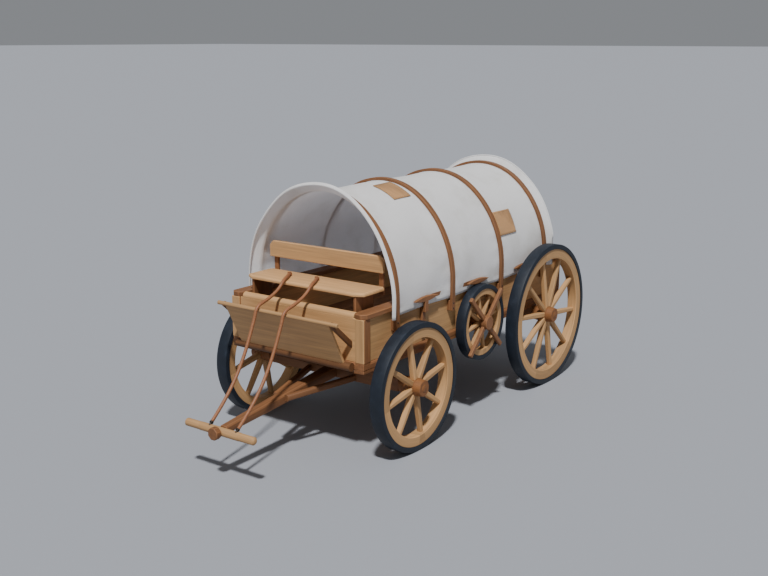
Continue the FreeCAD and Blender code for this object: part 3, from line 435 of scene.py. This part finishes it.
def shade_soft(mesh, angle=30.0):
    """Smooth shading that keeps edges sharper than the angle."""
    mesh.normal_update()
    for face in mesh.faces:
        face.smooth = True
    for edge in mesh.edges:
        edge.smooth = edge.is_manifold and edge.calc_face_angle(0.0) < math.radians(angle)


def timber_piece(node, timber, width, place=None):
    """Replace a timber node by a copy with eased edges, lighter for wear and as painted highlight, and its
    own grain.
    """
    mesh = cad_copy(node)
    ease_edges(mesh, width)
    lay_grain(mesh, node, place)
    shade_soft(mesh)
    stand_in(node, f"{node}_timber", mesh, [f"{timber}_timber", f"{timber}_edge"])


# ---- arch ----
def arch_point(s, offset, y):
    """Point of the cover at arc length s from the crown, grown outwards by the offset."""
    sign, run = (1 if s >= 0 else -1), abs(s)
    if run <= CROWN_ARC:
        turn, reach = run / CROWN_R, CROWN_R + offset
        out, up = reach * math.sin(turn), CROWN_DROP + reach * math.cos(turn)
    elif run <= CROWN_ARC + SIDE_ARC:
        turn, reach = SIDE_TURN - (run - CROWN_ARC) / SIDE_R, SIDE_R + offset
        out, up = SIDE_CENTRE_X + reach * math.cos(turn), reach * math.sin(turn)
    else:
        out, up = ARCH_HALF_W + offset, CROWN_ARC + SIDE_ARC - run
    return Vector((sign * out, y, ARCH_BASE_Z + up))


# ---- settings ----
def colour_prop(label, text, code):
    """A colour that a user may change."""
    return FloatVectorProperty(name=label, description=text, subtype="COLOR", size=4, min=0, max=1,
                               default=linear(code))


def length_prop(label, text, default, low, high):
    """A length that a user may change."""
    return FloatProperty(name=label, description=text, subtype="DISTANCE", unit="LENGTH", default=default,
                         min=low, max=high)


class WagonColours(bpy.types.PropertyGroup):
    """Colours of the finishes"""
    pale_timber: colour_prop("Pale timber", "Boards, seat, footboard, spokes and felloes", "#B98F60")
    brown_timber: colour_prop("Brown timber", "Rails, sills, hoops, tongue and undercarriage", "#7F5535")
    # dark_timber is brown oak darkened as painted shade, for the shade under the footboard.
    dark_timber: colour_prop("Dark timber", "Beam and struts of the footboard", "#6A4527")
    hub_timber: colour_prop("Hub timber", "Turned wheel hubs", "#84552F")
    tyre: colour_prop("Tyre paint", "Paint on the iron tyres", "#1A222D")
    canvas: colour_prop("Canvas", "Cotton duck of the cover", "#FAF8F5")
    patch: colour_prop("Patches", "Sacking patches on the cover", "#B98C5E")
    leather: colour_prop("Leather", "Reins and their knots", "#96613F")


class WagonCanvas(bpy.types.PropertyGroup):
    """Cloth of the cover"""
    sag: length_prop("Sag", "How far the cloth hangs in between two hoops", 0.009, 0, 0.03)
    pucker: length_prop("Pucker", "Height of the small folds beside each hoop", 0.0025, 0, 0.01)
    thickness: length_prop("Thickness", "Thickness of the cloth", 0.003, 0.001, 0.006)
    stations: IntProperty(name="Stations", description="Cross sections between the end hoops",
                          default=120, min=24)
    columns: IntProperty(name="Columns", description="Strips of cloth round the arch", default=96, min=24)


class WagonTimber(bpy.types.PropertyGroup):
    """Boards and their bolts"""
    edge: length_prop("Eased edge", "Chamfer planed on each board's corners", 0.004, 0.0005, 0.01)
    bolt: length_prop("Bolt head", "Diameter of a carriage bolt's head", 0.016, 0.01, 0.04)


class WagonStage(bpy.types.PropertyGroup):
    """Light of the stage"""
    sun: FloatProperty(name="Sun", description="Strength of the soft key light", default=4.05, min=0)
    sky: FloatProperty(name="Sky", description="Strength of the even light from all around",
                       default=0.31, min=0)


# ---- timber ----
TIMBERS = {
    "pale": ["side_wall_left", "side_wall_right", "front_board", "end_board", "corner_battens",
             "seat_board", "seat_back", "footboard", "footboard_rail", "crossbar"],
    "brown": ["ledge", "sills", "corner_posts", "top_rails", "floor", "seat_legs", "seat_stiles",
              "hoop_blocks", "tie_cleats", "bolsters", "reach", "floor_cleats", "rear_axle", "front_axle",
              "sandboard", "tongue", "hounds", "spare_clamp"],
    # Painted shade: the footboard's beam and struts wear brown oak darkened for the shade the footboard
    # casts on them.
    "dark": ["footboard_frame"],
}
HOOP_EASE = 0.6  # hoops' chamfer as a share of a board's
HOOP_FOOT_TURN = -0.4  # how far below the arch the grain still turns with a hoop
HOOP_TONE_STEP = 7  # a hoop's tone goes by its place along the wagon


class WAGON_OT_timber(bpy.types.Operator):
    """Give every board and beam eased edges and its own grain"""
    bl_idname = "wagon.timber"
    bl_label = "Timber"

    def execute(self, context):
        width = context.scene.wagon_timber.edge
        for timber, nodes in TIMBERS.items():
            for node in nodes:
                timber_piece(node, timber, width)
        return {"FINISHED"}


class WAGON_OT_hoops(bpy.types.Operator):
    """Steam-bent hoops over the cover, with the grain running round them"""
    bl_idname = "wagon.hoops"
    bl_label = "Hoops"

    def execute(self, context):
        def round_arch(co, face):
            centre = face.calc_center_median()
            turn = math.atan2(max(centre.z - ARCH_BASE_Z, HOOP_FOOT_TURN), centre.x)
            step = (co - centre).dot(Vector((-math.sin(turn), 0, math.cos(turn))))
            reach = math.hypot(co.x, co.z - ARCH_BASE_Z)
            tone = 0.5 + 0.4 * math.sin(HOOP_TONE_STEP * centre.y)
            return Vector((turn * ARCH_HALF_W + step, co.y, reach)), tone

        timber_piece("hoops", "brown", context.scene.wagon_timber.edge * HOOP_EASE, round_arch)
        return {"FINISHED"}


# ---- wheels ----
# Spokes and depth of the felloes of each wheel.
WHEELS = {"front_left": (8, 0.080), "front_right": (8, 0.080), "rear_left": (10, 0.090),
          "rear_right": (10, 0.090), "spare": (8, 0.052)}
SPOKE_LEAN = math.radians(11.5)  # lean of the uppermost spoke to the front
WHEEL_STEPS = 96
WHEEL_EDGE, WHEEL_WELD = 0.003, 0.0015  # chamfer on the felloes; closer points are one
FELLOE_SHARP = 60.0  # degrees: duller edges of a felloe or spoke stay as they are
FELLOE_GAP = 0.004  # faces this far inside the felloes still count as theirs
FELLOE_SHIFT, SPOKE_SHIFT = 5.3, 3.1  # how far one piece's grain is drawn from the next one's
SPOKE_FIRST = 40  # spokes are numbered from here, felloes from nought
TYRE_WORN = 0.006  # corners of the tread
HUB_SCORE = 0.004  # scored lines of the hub, deep and wide
HUB_TAPER = 0.006  # hub's ends below its barrel
HUB_NOSE = 0.005  # chamfer of its nose
CAP_R, CAP_SIDE_R, CAP_TOP_R = 0.034, 0.031, 0.026  # axle's end cap in the hub's nose
TONE_STEP = 2.4  # spreads the tones of neighbouring felloes and spokes


def wheel_grain(centre, spokes, felloe_r):
    """Grain along each spoke, and round the rim on the felloes, which join between every two spokes."""
    spoke_turn = 2 * math.pi / spokes

    def place(co, face):
        middle_of = face.calc_center_median() - centre
        reach = math.hypot(middle_of.y, middle_of.z)
        turn = math.atan2(middle_of.y, middle_of.z)
        step = co - centre
        along = step.dot(Vector((0, math.sin(turn), math.cos(turn))))
        round_it = step.dot(Vector((0, math.cos(turn), -math.sin(turn))))
        if reach > felloe_r:
            piece = math.floor((turn + SPOKE_LEAN) / (2 * spoke_turn))
            spot = Vector((turn * reach + round_it + piece * FELLOE_SHIFT, along, co.x))
        else:
            piece = SPOKE_FIRST + round((turn + SPOKE_LEAN) / spoke_turn)
            spot = Vector((along + piece * SPOKE_SHIFT, co.x, round_it))
        return spot, 0.5 + 0.5 * math.sin(piece * TONE_STEP)
    return place


def turned_piece(node, name, material, profile, centre):
    """Lathe-turned or rolled piece: a closed (across, radius) profile spun about the axle line."""
    mesh = bmesh.new()
    outline = [(x, centre.y, centre.z + radius) for x, radius in profile]
    spin_round(mesh, outline, (0, centre.y, centre.z), (1, 0, 0), WHEEL_STEPS)
    shade_soft(mesh, angle=25.0)
    stand_in(node, name, mesh, [material])


def tyre_profile(x0, x1, inner, outer):
    """Rolled bar with worn corners on the tread and a crisp inner edge."""
    worn, crisp, knee = TYRE_WORN, TYRE_WORN / 3, TYRE_WORN * 0.3
    return [(x0, inner + crisp), (x0 + crisp, inner), (x1 - crisp, inner), (x1, inner + crisp),
            (x1, outer - worn), (x1 - knee, outer - knee), (x1 - worn, outer),
            (x0 + worn, outer), (x0 + knee, outer - knee), (x0, outer - worn), (x0, inner + crisp)]


def hub_profile(inner_x, outer_x, radius, sign):
    """Turned barrel with two scored lines, a chamfered nose and the axle's end cap."""
    step, quarter = sign * HUB_SCORE, (outer_x - inner_x) / 4
    nose, end_r, scored = outer_x - step, radius - HUB_TAPER, radius - HUB_SCORE
    near, far = inner_x + quarter, nose - quarter
    return [(inner_x, 0.0), (inner_x, end_r - HUB_SCORE), (inner_x + step, end_r),
            (near, radius), (near + step, scored), (near + 2 * step, radius),
            (far - 2 * step, radius), (far - step, scored), (far, radius),
            (nose - step, end_r), (nose, end_r - HUB_NOSE), (nose, CAP_R), (nose + step / 2, CAP_SIDE_R),
            (outer_x, CAP_TOP_R), (outer_x, 0.0)]


class WAGON_OT_wheels(bpy.types.Operator):
    """Spoked wheels with jointed felloes, painted iron tyres and turned hubs"""
    bl_idname = "wagon.wheels"
    bl_label = "Wheels"

    def execute(self, context):
        for name, (spokes, felloe) in WHEELS.items():
            wheel, tyre, hub = (f"{name}_{piece}" for piece in ("wheel", "tyre", "hub"))
            centre = middle(hub)
            rim_low, rim_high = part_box(wheel)
            rim_r = (rim_high.z - rim_low.z) / 2
            mesh = bmesh.new()
            mesh.from_mesh(frame["nodes"][wheel].data)
            bmesh.ops.remove_doubles(mesh, verts=mesh.verts, dist=WHEEL_WELD)
            ease_edges(mesh, WHEEL_EDGE, sharp=FELLOE_SHARP)
            lay_grain(mesh, name, wheel_grain(centre, spokes, rim_r - felloe - FELLOE_GAP))
            shade_soft(mesh)
            # The felloes' chamfers wear the lighter edge material: wear and painted highlight.
            stand_in(wheel, f"{name}_felloes", mesh, ["pale_timber", "pale_edge"])

            low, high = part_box(tyre)
            tread = tyre_profile(low.x, high.x, rim_r, (high.z - low.z) / 2)
            turned_piece(tyre, f"{name}_iron_tyre", "tyre", tread, centre)

            low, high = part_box(hub)
            sign = math.copysign(1, centre.x)
            inner_x, outer_x = (low.x, high.x) if sign > 0 else (high.x, low.x)
            barrel = hub_profile(inner_x, outer_x, (high.z - low.z) / 2, sign)
            turned_piece(hub, f"{name}_turned_hub", "hub_timber", barrel, centre)
        return {"FINISHED"}


# ---- canvas ----
# A place on the cover is its arc length s from the crown and its y. A number that multiplies s or y
# in a sine is a wave's radians a metre.
BRIM_FLARE = COVER_HIGH.x - ARCH_HALF_W
BRIM_LENGTH = HOOPS_LOW.y - COVER_LOW.y
BRIM_ROWS, BRIM_CLOTH = 6, 0.92  # rows of cloth in a brim, and the share of it that they reach
BRIM_TURN, BRIM_BEND = 0.82, 1.1  # share of a brim where the flare is full, and the bend's power
RIPPLE = 0.004  # unevenness of a brim's outline
FOOT_TUCK, FOOT_AHEAD = 0.007, 0.010  # brim's feet: drawn in, and further from the end hoop
FOOT_FROM, FOOT_RUN = 0.6, 0.7  # shares of the crown's arc and the side's where that sets in
HEM_W, HEM_T = 0.032, 0.015  # padded hem, across and along the flare
HEM_IN, HEM_BACK, HEM_LAP = 0.014, 0.006, 0.012  # hem's middle in and back, and its lap on the cloth
HEM_SIDES, HEM_CORNER = 12, 0.6  # points round a hem, and how square it is
CLOTH_LIFT = 0.0025  # cloth's middle outside the arch
SAG_POWER = 0.7  # below 1 the sag is flatter in its middle
FOLD_AT, FOLD_REACH = 0.06, 0.07  # folds beside a hoop: how far away, and how wide
SIDE_FULL = 1.4  # how soon the folds grow to their full height down a side
DRAPE = 0.0035  # broad soft waves between hoops
LOW_EDGE, EDGE_RISE = 0.12, 0.006  # cloth's lower edge, and its rise between hoops
TYRE_SIDE, TYRE_TOP = 0.011, 0.03  # room beside and over a rear tyre
RING_STEP = 0.004  # cloth from point to point round a tube


def brim_ripple(s):
    """Slight unevenness of the brims' outline round the arch."""
    return RIPPLE * math.sin(s * 9.0) * math.sin(s * 3.7 + 1.0)


def towards_foot(s):
    """0 over the crown, rising to 1 down the side arc, where the cloth is drawn in and forward."""
    down = max(0.0, min(1.0, (abs(s) - CROWN_ARC * FOOT_FROM) / (SIDE_ARC * FOOT_RUN)))
    return down * down * (3 - 2 * down)


def brim_flare(s):
    """How far a brim stands out from the arch at its edge."""
    return BRIM_FLARE - FOOT_TUCK * towards_foot(s)


def canvas_offset(s, y, settings):
    """How far the cloth lies outside the arch at a place: sag, puckers and the flared brims."""
    first, last = HOOPED
    if y < first or y > last:
        edge = (first - y) / (first - COVER_LOW.y) if y < first else (y - last) / (COVER_HIGH.y - last)
        flare = (brim_flare(s) - HEM_LAP) * min(1.0, edge / BRIM_TURN) ** BRIM_BEND
        return CLOTH_LIFT + flare + brim_ripple(s) * edge
    between = ((y - HOOP_FIRST_Y) / HOOP_PITCH) % 1.0
    if y < HOOP_FIRST_Y or y > last - HOOP_W / 2:
        between = 0.0
    hang = math.sin(math.pi * between) ** SAG_POWER
    side = min(1.0, abs(s) / HALF_GIRTH * SIDE_FULL)
    sag = settings.sag * hang * (0.55 + 0.45 * math.cos(s * 1.3))
    near = math.exp(-((min(between, 1 - between) * HOOP_PITCH - FOLD_AT) / FOLD_REACH) ** 2)
    folds = settings.pucker * near * math.sin(s * 31.0 + 3 * math.sin(s * 5.0 + y * 2)) * side
    drapes = DRAPE * hang * math.sin(s * 11.0 + y * 7.0 + 2.0 * math.sin(y * 3.1)) * (0.4 + 0.6 * side)
    return CLOTH_LIFT - sag + folds + drapes


def canvas_stations(count):
    """Places of the cross sections along the wagon: dense at the brims, even between them."""
    first, last = HOOPED
    reach = BRIM_LENGTH * BRIM_CLOTH
    front = [first - reach * (1 - i / BRIM_ROWS) for i in range(BRIM_ROWS)]
    back = [last + reach * (i + 1) / BRIM_ROWS for i in range(BRIM_ROWS)]
    return front + [first + (last - first) * i / count for i in range(count + 1)] + back


def beside_tyres(point):
    """Keep the brim's feet beside the rear wheels inside the tyres."""
    low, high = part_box("rear_left_tyre")
    if point.z < high.z + TYRE_TOP and point.y > low.y:
        room = low.x - TYRE_SIDE
        point.x = max(-room, min(room, point.x))
    return point


def sheet_on_arch(columns, stations, place):
    """Strip of edges round the arch, extruded from station to station, then set in place.

    place gives a point of the sheet and where it lies on the flat cloth.
    """
    mesh = cloth_mesh()
    uv = mesh.loops.layers.uv["cloth"]
    verts = [mesh.verts.new((i, 0, 0)) for i in range(columns + 1)]
    row = [mesh.edges.new(pair) for pair in zip(verts, verts[1:])]
    for _ in stations[1:]:
        out = bmesh.ops.extrude_edge_only(mesh, edges=row)["geom"]
        new_verts = [g for g in out if isinstance(g, bmesh.types.BMVert)]
        bmesh.ops.translate(mesh, verts=new_verts, vec=(0, 1, 0))
        row = [g for g in out if isinstance(g, bmesh.types.BMEdge) and g.verts[0] in new_verts
               and g.verts[1] in new_verts]
    on_cloth = {}
    for vert in mesh.verts:
        column, station = round(vert.co.x), round(vert.co.y)
        vert.co, on_cloth[vert] = place(column / columns, stations[station])
    for face in mesh.faces:
        face.smooth = True
        for loop in face.loops:
            loop[uv].uv = on_cloth[loop.vert]
    bmesh.ops.recalc_face_normals(mesh, faces=mesh.faces)
    return mesh


class WAGON_OT_canvas(bpy.types.Operator):
    """One stretched sheet of canvas over the arch, flared at both ends, with rolled hems"""
    bl_idname = "wagon.canvas"
    bl_label = "Canvas cover"

    def execute(self, context):
        settings = context.scene.wagon_canvas

        def place(across, y):
            s = HALF_GIRTH * (2 * across - 1)
            low = max(0.0, (abs(s) - HALF_GIRTH + LOW_EDGE) / LOW_EDGE)
            between = ((y - HOOP_FIRST_Y) / HOOP_PITCH) % 1.0
            beyond = max(0.0, (HOOPS_LOW.y - y) / BRIM_LENGTH, (y - HOOPS_HIGH.y) / BRIM_LENGTH)
            y += math.copysign(FOOT_AHEAD * towards_foot(s) * beyond, y)
            point = beside_tyres(arch_point(s, canvas_offset(s, y, settings), y))
            point.z += low * EDGE_RISE * math.sin(math.pi * between) ** 2
            return point, (s, y)

        mesh = sheet_on_arch(settings.columns, canvas_stations(settings.stations), place)
        cover = finished("canvas_cover", mesh, ["canvas"], "box", settings.thickness)
        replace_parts(cover, "cover")
        hems = self.hems(settings.columns)
        return {"FINISHED"}

    def hems(self, columns):
        """Padded hems along both brims, square to the flare, with soft corners."""
        mesh = cloth_mesh()
        for edge_y, inward in ((COVER_LOW.y, 1), (COVER_HIGH.y, -1)):
            rings = []
            for column in range(columns + 1):
                s = HALF_GIRTH * (2 * column / columns - 1)
                flare = brim_flare(s)
                run = Vector((flare, -inward * BRIM_LENGTH)).normalized()
                across = Vector((-run.y * inward, run.x * inward))
                middle_at = Vector((flare - HEM_IN + brim_ripple(s),
                                    edge_y + inward * (HEM_BACK - FOOT_AHEAD * towards_foot(s))))
                ring = []
                for k in range(HEM_SIDES):
                    turn = 2 * math.pi * k / HEM_SIDES
                    wide, deep = (math.copysign(abs(share) ** HEM_CORNER, share) / 2
                                  for share in (math.cos(turn), math.sin(turn)))
                    offset, y = middle_at + across * (wide * HEM_W) + run * (deep * HEM_T)
                    ring.append(beside_tyres(arch_point(s, offset, y)))
                rings.append(ring)
            sweep_rings(mesh, rings)
        return finished("cover_hems", mesh, ["canvas"], "box")


def sweep_rings(mesh, rings):
    """Bridge a row of equal rings of points into one closed solid."""
    uv = mesh.loops.layers.uv["cloth"]
    loops, places, run = [], {}, 0.0
    for i, ring in enumerate(rings):
        run += (ring[0] - rings[i - 1][0]).length if i else 0.0
        verts = [mesh.verts.new(point) for point in ring]
        loops.append([mesh.edges.new(pair) for pair in zip(verts, verts[1:] + verts[:1])])
        for k, vert in enumerate(verts):
            places[vert] = (run, k * RING_STEP)
    faces = []
    for first, second in zip(loops, loops[1:]):
        faces += bmesh.ops.bridge_loops(mesh, edges=first + second)["faces"]
    for loop in (loops[0], loops[-1]):
        faces += bmesh.ops.contextual_create(mesh, geom=loop)["faces"]
    bmesh.ops.recalc_face_normals(mesh, faces=faces)
    for face in faces:
        face.smooth = len(face.verts) == 4
        for corner in face.loops:
            corner[uv].uv = places[corner.vert]


def sweep_round(mesh, line, radius, sides):
    """Round tube along a line of points, closed at both ends."""
    rings, side = [], None
    turns = [2 * math.pi * k / sides for k in range(sides)]
    for i, point in enumerate(line):
        before, after = line[max(0, i - 1)], line[min(len(line) - 1, i + 1)]
        ahead = (after - before).normalized()
        if side is None:
            side = ahead.orthogonal().normalized()
        side = (side - ahead * side.dot(ahead)).normalized()
        over = ahead.cross(side)
        rings.append([point + side * (radius * math.cos(a)) + over * (radius * math.sin(a)) for a in turns])
    sweep_rings(mesh, rings)


# Patches: place of the middle round the arch and along the wagon, size round and along, and skew.
PATCHES = {
    "front_patch": (0.230, FRONT_AXLE_Y + 0.514, 0.265, 0.232, -0.028),
    "rear_patch": (0.819, FRONT_AXLE_Y + 1.722, 0.227, 0.296, 0.004),
}
PATCH_CELLS = 14  # cells each way
PATCH_T, PATCH_LIFT = 0.006, 0.0062  # folded sacking, and its middle above the canvas's
PATCH_CURL, CURL_FROM = 0.004, 0.8  # how far the edge curls up, from this share of the way out
STITCH_IN, STITCH_PITCH = 0.014, 0.024  # from the patch's edge, and from stitch to stitch
STITCH_HALF, STITCH_R = 0.006, 0.0018
STITCH_LIFT = 0.0102  # stitch's middle above the canvas's


class WAGON_OT_patches(bpy.types.Operator):
    """Two sacking patches sewn on the cover with a row of waxed stitches"""
    bl_idname = "wagon.patches"
    bl_label = "Patches"

    def execute(self, context):
        settings = context.scene.wagon_canvas
        for name, (middle_s, middle_y, round_it, along, skew) in PATCHES.items():
            stations = [middle_y + along * (j / PATCH_CELLS - 0.5) for j in range(PATCH_CELLS + 1)]

            def place(share, y):
                s = middle_s + round_it * (share - 0.5)
                out = 2 * max(abs(share - 0.5), abs(y - middle_y) / along)
                curl = PATCH_CURL * max(0.0, out - CURL_FROM) / (1 - CURL_FROM)
                y += skew * (share - 0.5)
                point = arch_point(s, canvas_offset(s, y, settings) + PATCH_LIFT + curl, y)
                return point, (point.z, point.y)

            mesh = sheet_on_arch(PATCH_CELLS, stations, place)
            patch = finished(name, mesh, ["patch"], "box", PATCH_T)
            stitches = self.stitches(name, settings)
        return {"FINISHED"}

    def stitches(self, name, settings):
        """Short raised stitches in a row a little inside the patch's edge."""
        middle_s, middle_y, round_it, along, skew = PATCHES[name]
        mesh = cloth_mesh()
        for edge_s, edge_y in ((-0.5, 0), (0.5, 0), (0, -0.5), (0, 0.5)):
            length = (along if edge_s else round_it) - 2 * STITCH_IN
            count = int(length / STITCH_PITCH)
            for i in range(count):
                run = ((i + 0.5) / count - 0.5) * length
                s = middle_s + (edge_s * (round_it - 2 * STITCH_IN) if edge_s else run)
                y = middle_y + (edge_y * (along - 2 * STITCH_IN) if edge_y else run)
                y += skew * (s - middle_s) / round_it
                ends = []
                for step in (-STITCH_HALF, STITCH_HALF):
                    s_end, y_end = (s, y + step) if edge_s else (s + step, y)
                    lift = canvas_offset(s_end, y_end, settings) + STITCH_LIFT
                    ends.append(arch_point(s_end, lift, y_end))
                sweep_round(mesh, [ends[0], ends[0].lerp(ends[1], 0.5), ends[1]], STITCH_R, sides=5)
        return finished(f"{name}_stitches", mesh, ["thread"], "box")


# ---- reins ----
KNOT_R, KNOT_H = 0.020, 0.034  # wound knot on the seat
KNOT_TUBE = 0.0062  # rein's end, rolled thin where it is wound
KNOT_LAP = 0.002  # how far a rein starts inside its knot
KNOT_TURNS, TURN_STEPS = 3, 16
# Ferrule's outline: how far down from the rein's end, and out from its middle line.
FERRULE = [(-0.004, 0), (-0.004, 0.0155), (0.008, 0.0165), (0.012, 0.0100), (0.034, 0.0085), (0.034, 0)]


def spline_points(name, route):
    """Points along the route's smooth NURBS line."""
    curve = bpy.data.curves.new(f"{name}_line", "CURVE")
    curve.dimensions = "3D"
    curve.resolution_u = 8
    spline = curve.splines.new("NURBS")
    spline.points.add(len(route) - 1)
    for point, co in zip(spline.points, route):
        point.co = (*co, 1.0)
    spline.order_u = 3
    spline.use_endpoint_u = True
    guide = new_object(f"{name}_line", curve)
    bpy.context.view_layer.update()
    data = bpy.data.meshes.new_from_object(guide.evaluated_get(bpy.context.evaluated_depsgraph_get()))
    points = [v.co.copy() for v in data.vertices]
    bpy.data.objects.remove(guide)
    bpy.data.curves.remove(curve)
    bpy.data.meshes.remove(data)
    return points


class WAGON_OT_reins(bpy.types.Operator):
    """Round leather reins from the seat knots over the foot rail to the crossbar"""
    bl_idname = "wagon.reins"
    bl_label = "Reins"

    def execute(self, context):
        for name in REIN_X:
            route = rein_route(name)
            line = spline_points(name, route)
            mesh = cloth_mesh()
            sweep_round(mesh, line, REIN_DIAMETER / 2, REIN_SIDES)
            made = finished(f"{name}_leather", mesh, ["leather"], None)
            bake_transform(made)
            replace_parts(made, name)
        self.knots()
        self.ferrules()
        return {"FINISHED"}

    def knots(self):
        """Three turns of each rein round a peg in the seat board."""
        wound, pegs = cloth_mesh(), bmesh.new()
        coil_r, steps = KNOT_R - KNOT_TUBE, KNOT_TURNS * TURN_STEPS
        for name in REIN_X:
            start, after = rein_route(name)[:2]
            ahead = (after - start).normalized()
            peg = start - ahead * (KNOT_R - KNOT_LAP)
            lead = math.atan2(ahead.y, ahead.x) - math.pi / 2
            coil = []
            for k in range(steps + 1):
                turn = lead + 2 * math.pi * k / TURN_STEPS
                rise = KNOT_TUBE + (KNOT_H - 2 * KNOT_TUBE) * k / steps
                coil.append(Vector((peg.x + coil_r * math.cos(turn), peg.y + coil_r * math.sin(turn),
                                    SEAT_HIGH.z + rise)))
            sweep_round(wound, coil, KNOT_TUBE, sides=8)
            place = Matrix.Translation((peg.x, peg.y, SEAT_HIGH.z + KNOT_H / 2))
            bmesh.ops.create_cone(pegs, cap_ends=True, segments=12, radius1=0.011, radius2=0.008,
                                  depth=KNOT_H, matrix=place)
        made = finished("rein_knots_wound", wound, ["leather"], "box")
        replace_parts(made, "rein_knots")
        lay_grain(pegs, "pegs")
        shade_soft(pegs)
        finished("rein_pegs", pegs, ["brown_timber"], "box")

    def ferrules(self):
        """Iron ferrule on each rein's end, with its stem driven into the crossbar."""
        mesh = bmesh.new()
        for name in REIN_X:
            before, end = rein_route(name)[-2:]
            down = (end - before).normalized()
            side = Vector((0, 0, 1)).rotation_difference(down) @ Vector((1, 0, 0))
            outline = [end + down * along + side * out for along, out in FERRULE]
            spin_round(mesh, outline, end, down, steps=20)
        shade_soft(mesh)
        made = finished("rein_ferrules", mesh, ["iron"], "forecarriage")
        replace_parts(made, "rein_eyes")


# ---- ironwork ----
BOLT_HEIGHTS = (0.020, 0.065)  # above the hoops' feet
BOLT_DOME = 0.45  # how flat a head is, against a ball


class WAGON_OT_ironwork(bpy.types.Operator):
    """Domed carriage bolt heads in the hoops' feet, the kingpin and its rub plate"""
    bl_idname = "wagon.ironwork"
    bl_label = "Ironwork"

    def execute(self, context):
        radius = context.scene.wagon_timber.bolt / 2
        mesh = bmesh.new()
        for y in HOOP_STATIONS:
            for height in BOLT_HEIGHTS:
                for side in (-1, 1):
                    place = Matrix.Translation((side * HOOPS_HIGH.x, y, HOOPS_LOW.z + height))
                    turn = Vector((0, 0, 1)).rotation_difference((side, 0, 0)).to_matrix().to_4x4()
                    bmesh.ops.create_uvsphere(mesh, u_segments=10, v_segments=6, radius=radius,
                                              matrix=place @ turn @ Matrix.Diagonal((1, 1, BOLT_DOME, 1)))
        for face in mesh.faces:
            face.smooth = True
        finished("box_bolts", mesh, ["iron"], "box")
        for node in ("kingpin", "lower_rub_plate"):
            for place in frame["nodes"][node].material_slots:
                place.material = MATERIALS["iron"]
        return {"FINISHED"}


# ---- stage ----
FLOOR_HALF = 400.0  # floor's half width
FLOOR_COLOUR, SKY_COLOUR = "#9B9EA5", "#E4E8EE"
SUN_FROM, SUN_SPREAD = Vector((0.277, -0.452, 0.848)), math.radians(4)
CAMERA_AT = (5.559, -7.5155, 3.3077)
CAMERA_TURN, CAMERA_DOWN = math.radians(36.55), math.radians(13.22)


class WAGON_OT_stage(bpy.types.Operator):
    """Pale floor, soft light and the camera"""
    bl_idname = "wagon.stage"
    bl_label = "Stage"

    def execute(self, context):
        scene, settings = context.scene, context.scene.wagon_stage
        mesh = bmesh.new()
        bmesh.ops.create_grid(mesh, x_segments=1, y_segments=1, size=FLOOR_HALF)
        MATERIALS["floor"], _tree, shader = new_material("matt pale floor", roughness=0.9)
        feed(shader, Base_Color=linear(FLOOR_COLOUR))
        finished("floor_plane", mesh, ["floor"])

        world = scene.world or bpy.data.worlds.new("studio")
        scene.world = world
        world.use_nodes = True
        feed(world.node_tree.nodes["Background"], Color=linear(SKY_COLOUR), Strength=settings.sky)

        sun = new_object("key_light", bpy.data.lights.new("key_light", "SUN"))
        sun.data.energy = settings.sun
        sun.data.angle = SUN_SPREAD
        sun.rotation_euler = SUN_FROM.to_track_quat("Z", "Y").to_euler()

        camera = new_object("camera", bpy.data.cameras.new("camera"))
        camera.data.lens = 50
        camera.data.sensor_width = 36
        camera.location = CAMERA_AT
        camera.rotation_euler = (math.pi / 2 - CAMERA_DOWN, 0, CAMERA_TURN)
        scene.camera = camera
        return {"FINISHED"}


# ---- panel, registering and running ----
OPERATORS = (WAGON_OT_stage, WAGON_OT_reins, WAGON_OT_timber, WAGON_OT_hoops, WAGON_OT_wheels,
             WAGON_OT_canvas, WAGON_OT_patches, WAGON_OT_ironwork)
SETTINGS = {"wagon_colours": WagonColours, "wagon_canvas": WagonCanvas, "wagon_timber": WagonTimber,
            "wagon_stage": WagonStage}


class WAGON_PT_build(bpy.types.Panel):
    """Lists the operators and their settings"""
    bl_label = "Covered wagon"
    bl_idname = "WAGON_PT_build"
    bl_space_type = "VIEW_3D"
    bl_region_type = "UI"
    bl_category = "Wagon"

    def draw(self, context):
        for operator in OPERATORS:
            self.layout.operator(operator.bl_idname)
        for group in SETTINGS:
            settings = getattr(context.scene, group)
            for name in settings.__annotations__:
                self.layout.prop(settings, name)


CLASSES = (*SETTINGS.values(), *OPERATORS, WAGON_PT_build)


def register():
    for cls in CLASSES:
        bpy.utils.register_class(cls)
    for name, group in SETTINGS.items():
        setattr(bpy.types.Scene, name, PointerProperty(type=group))


def unregister():
    for name in SETTINGS:
        delattr(bpy.types.Scene, name)
    for cls in reversed(CLASSES):
        bpy.utils.unregister_class(cls)


def main():
    """Build the wagon piece by piece."""
    register()
    MATERIALS.update(all_materials(bpy.context.scene.wagon_colours))
    for operator in OPERATORS:
        group, name = operator.bl_idname.split(".")
        getattr(getattr(bpy.ops, group), name)()


if __name__ == "__main__":
    main()
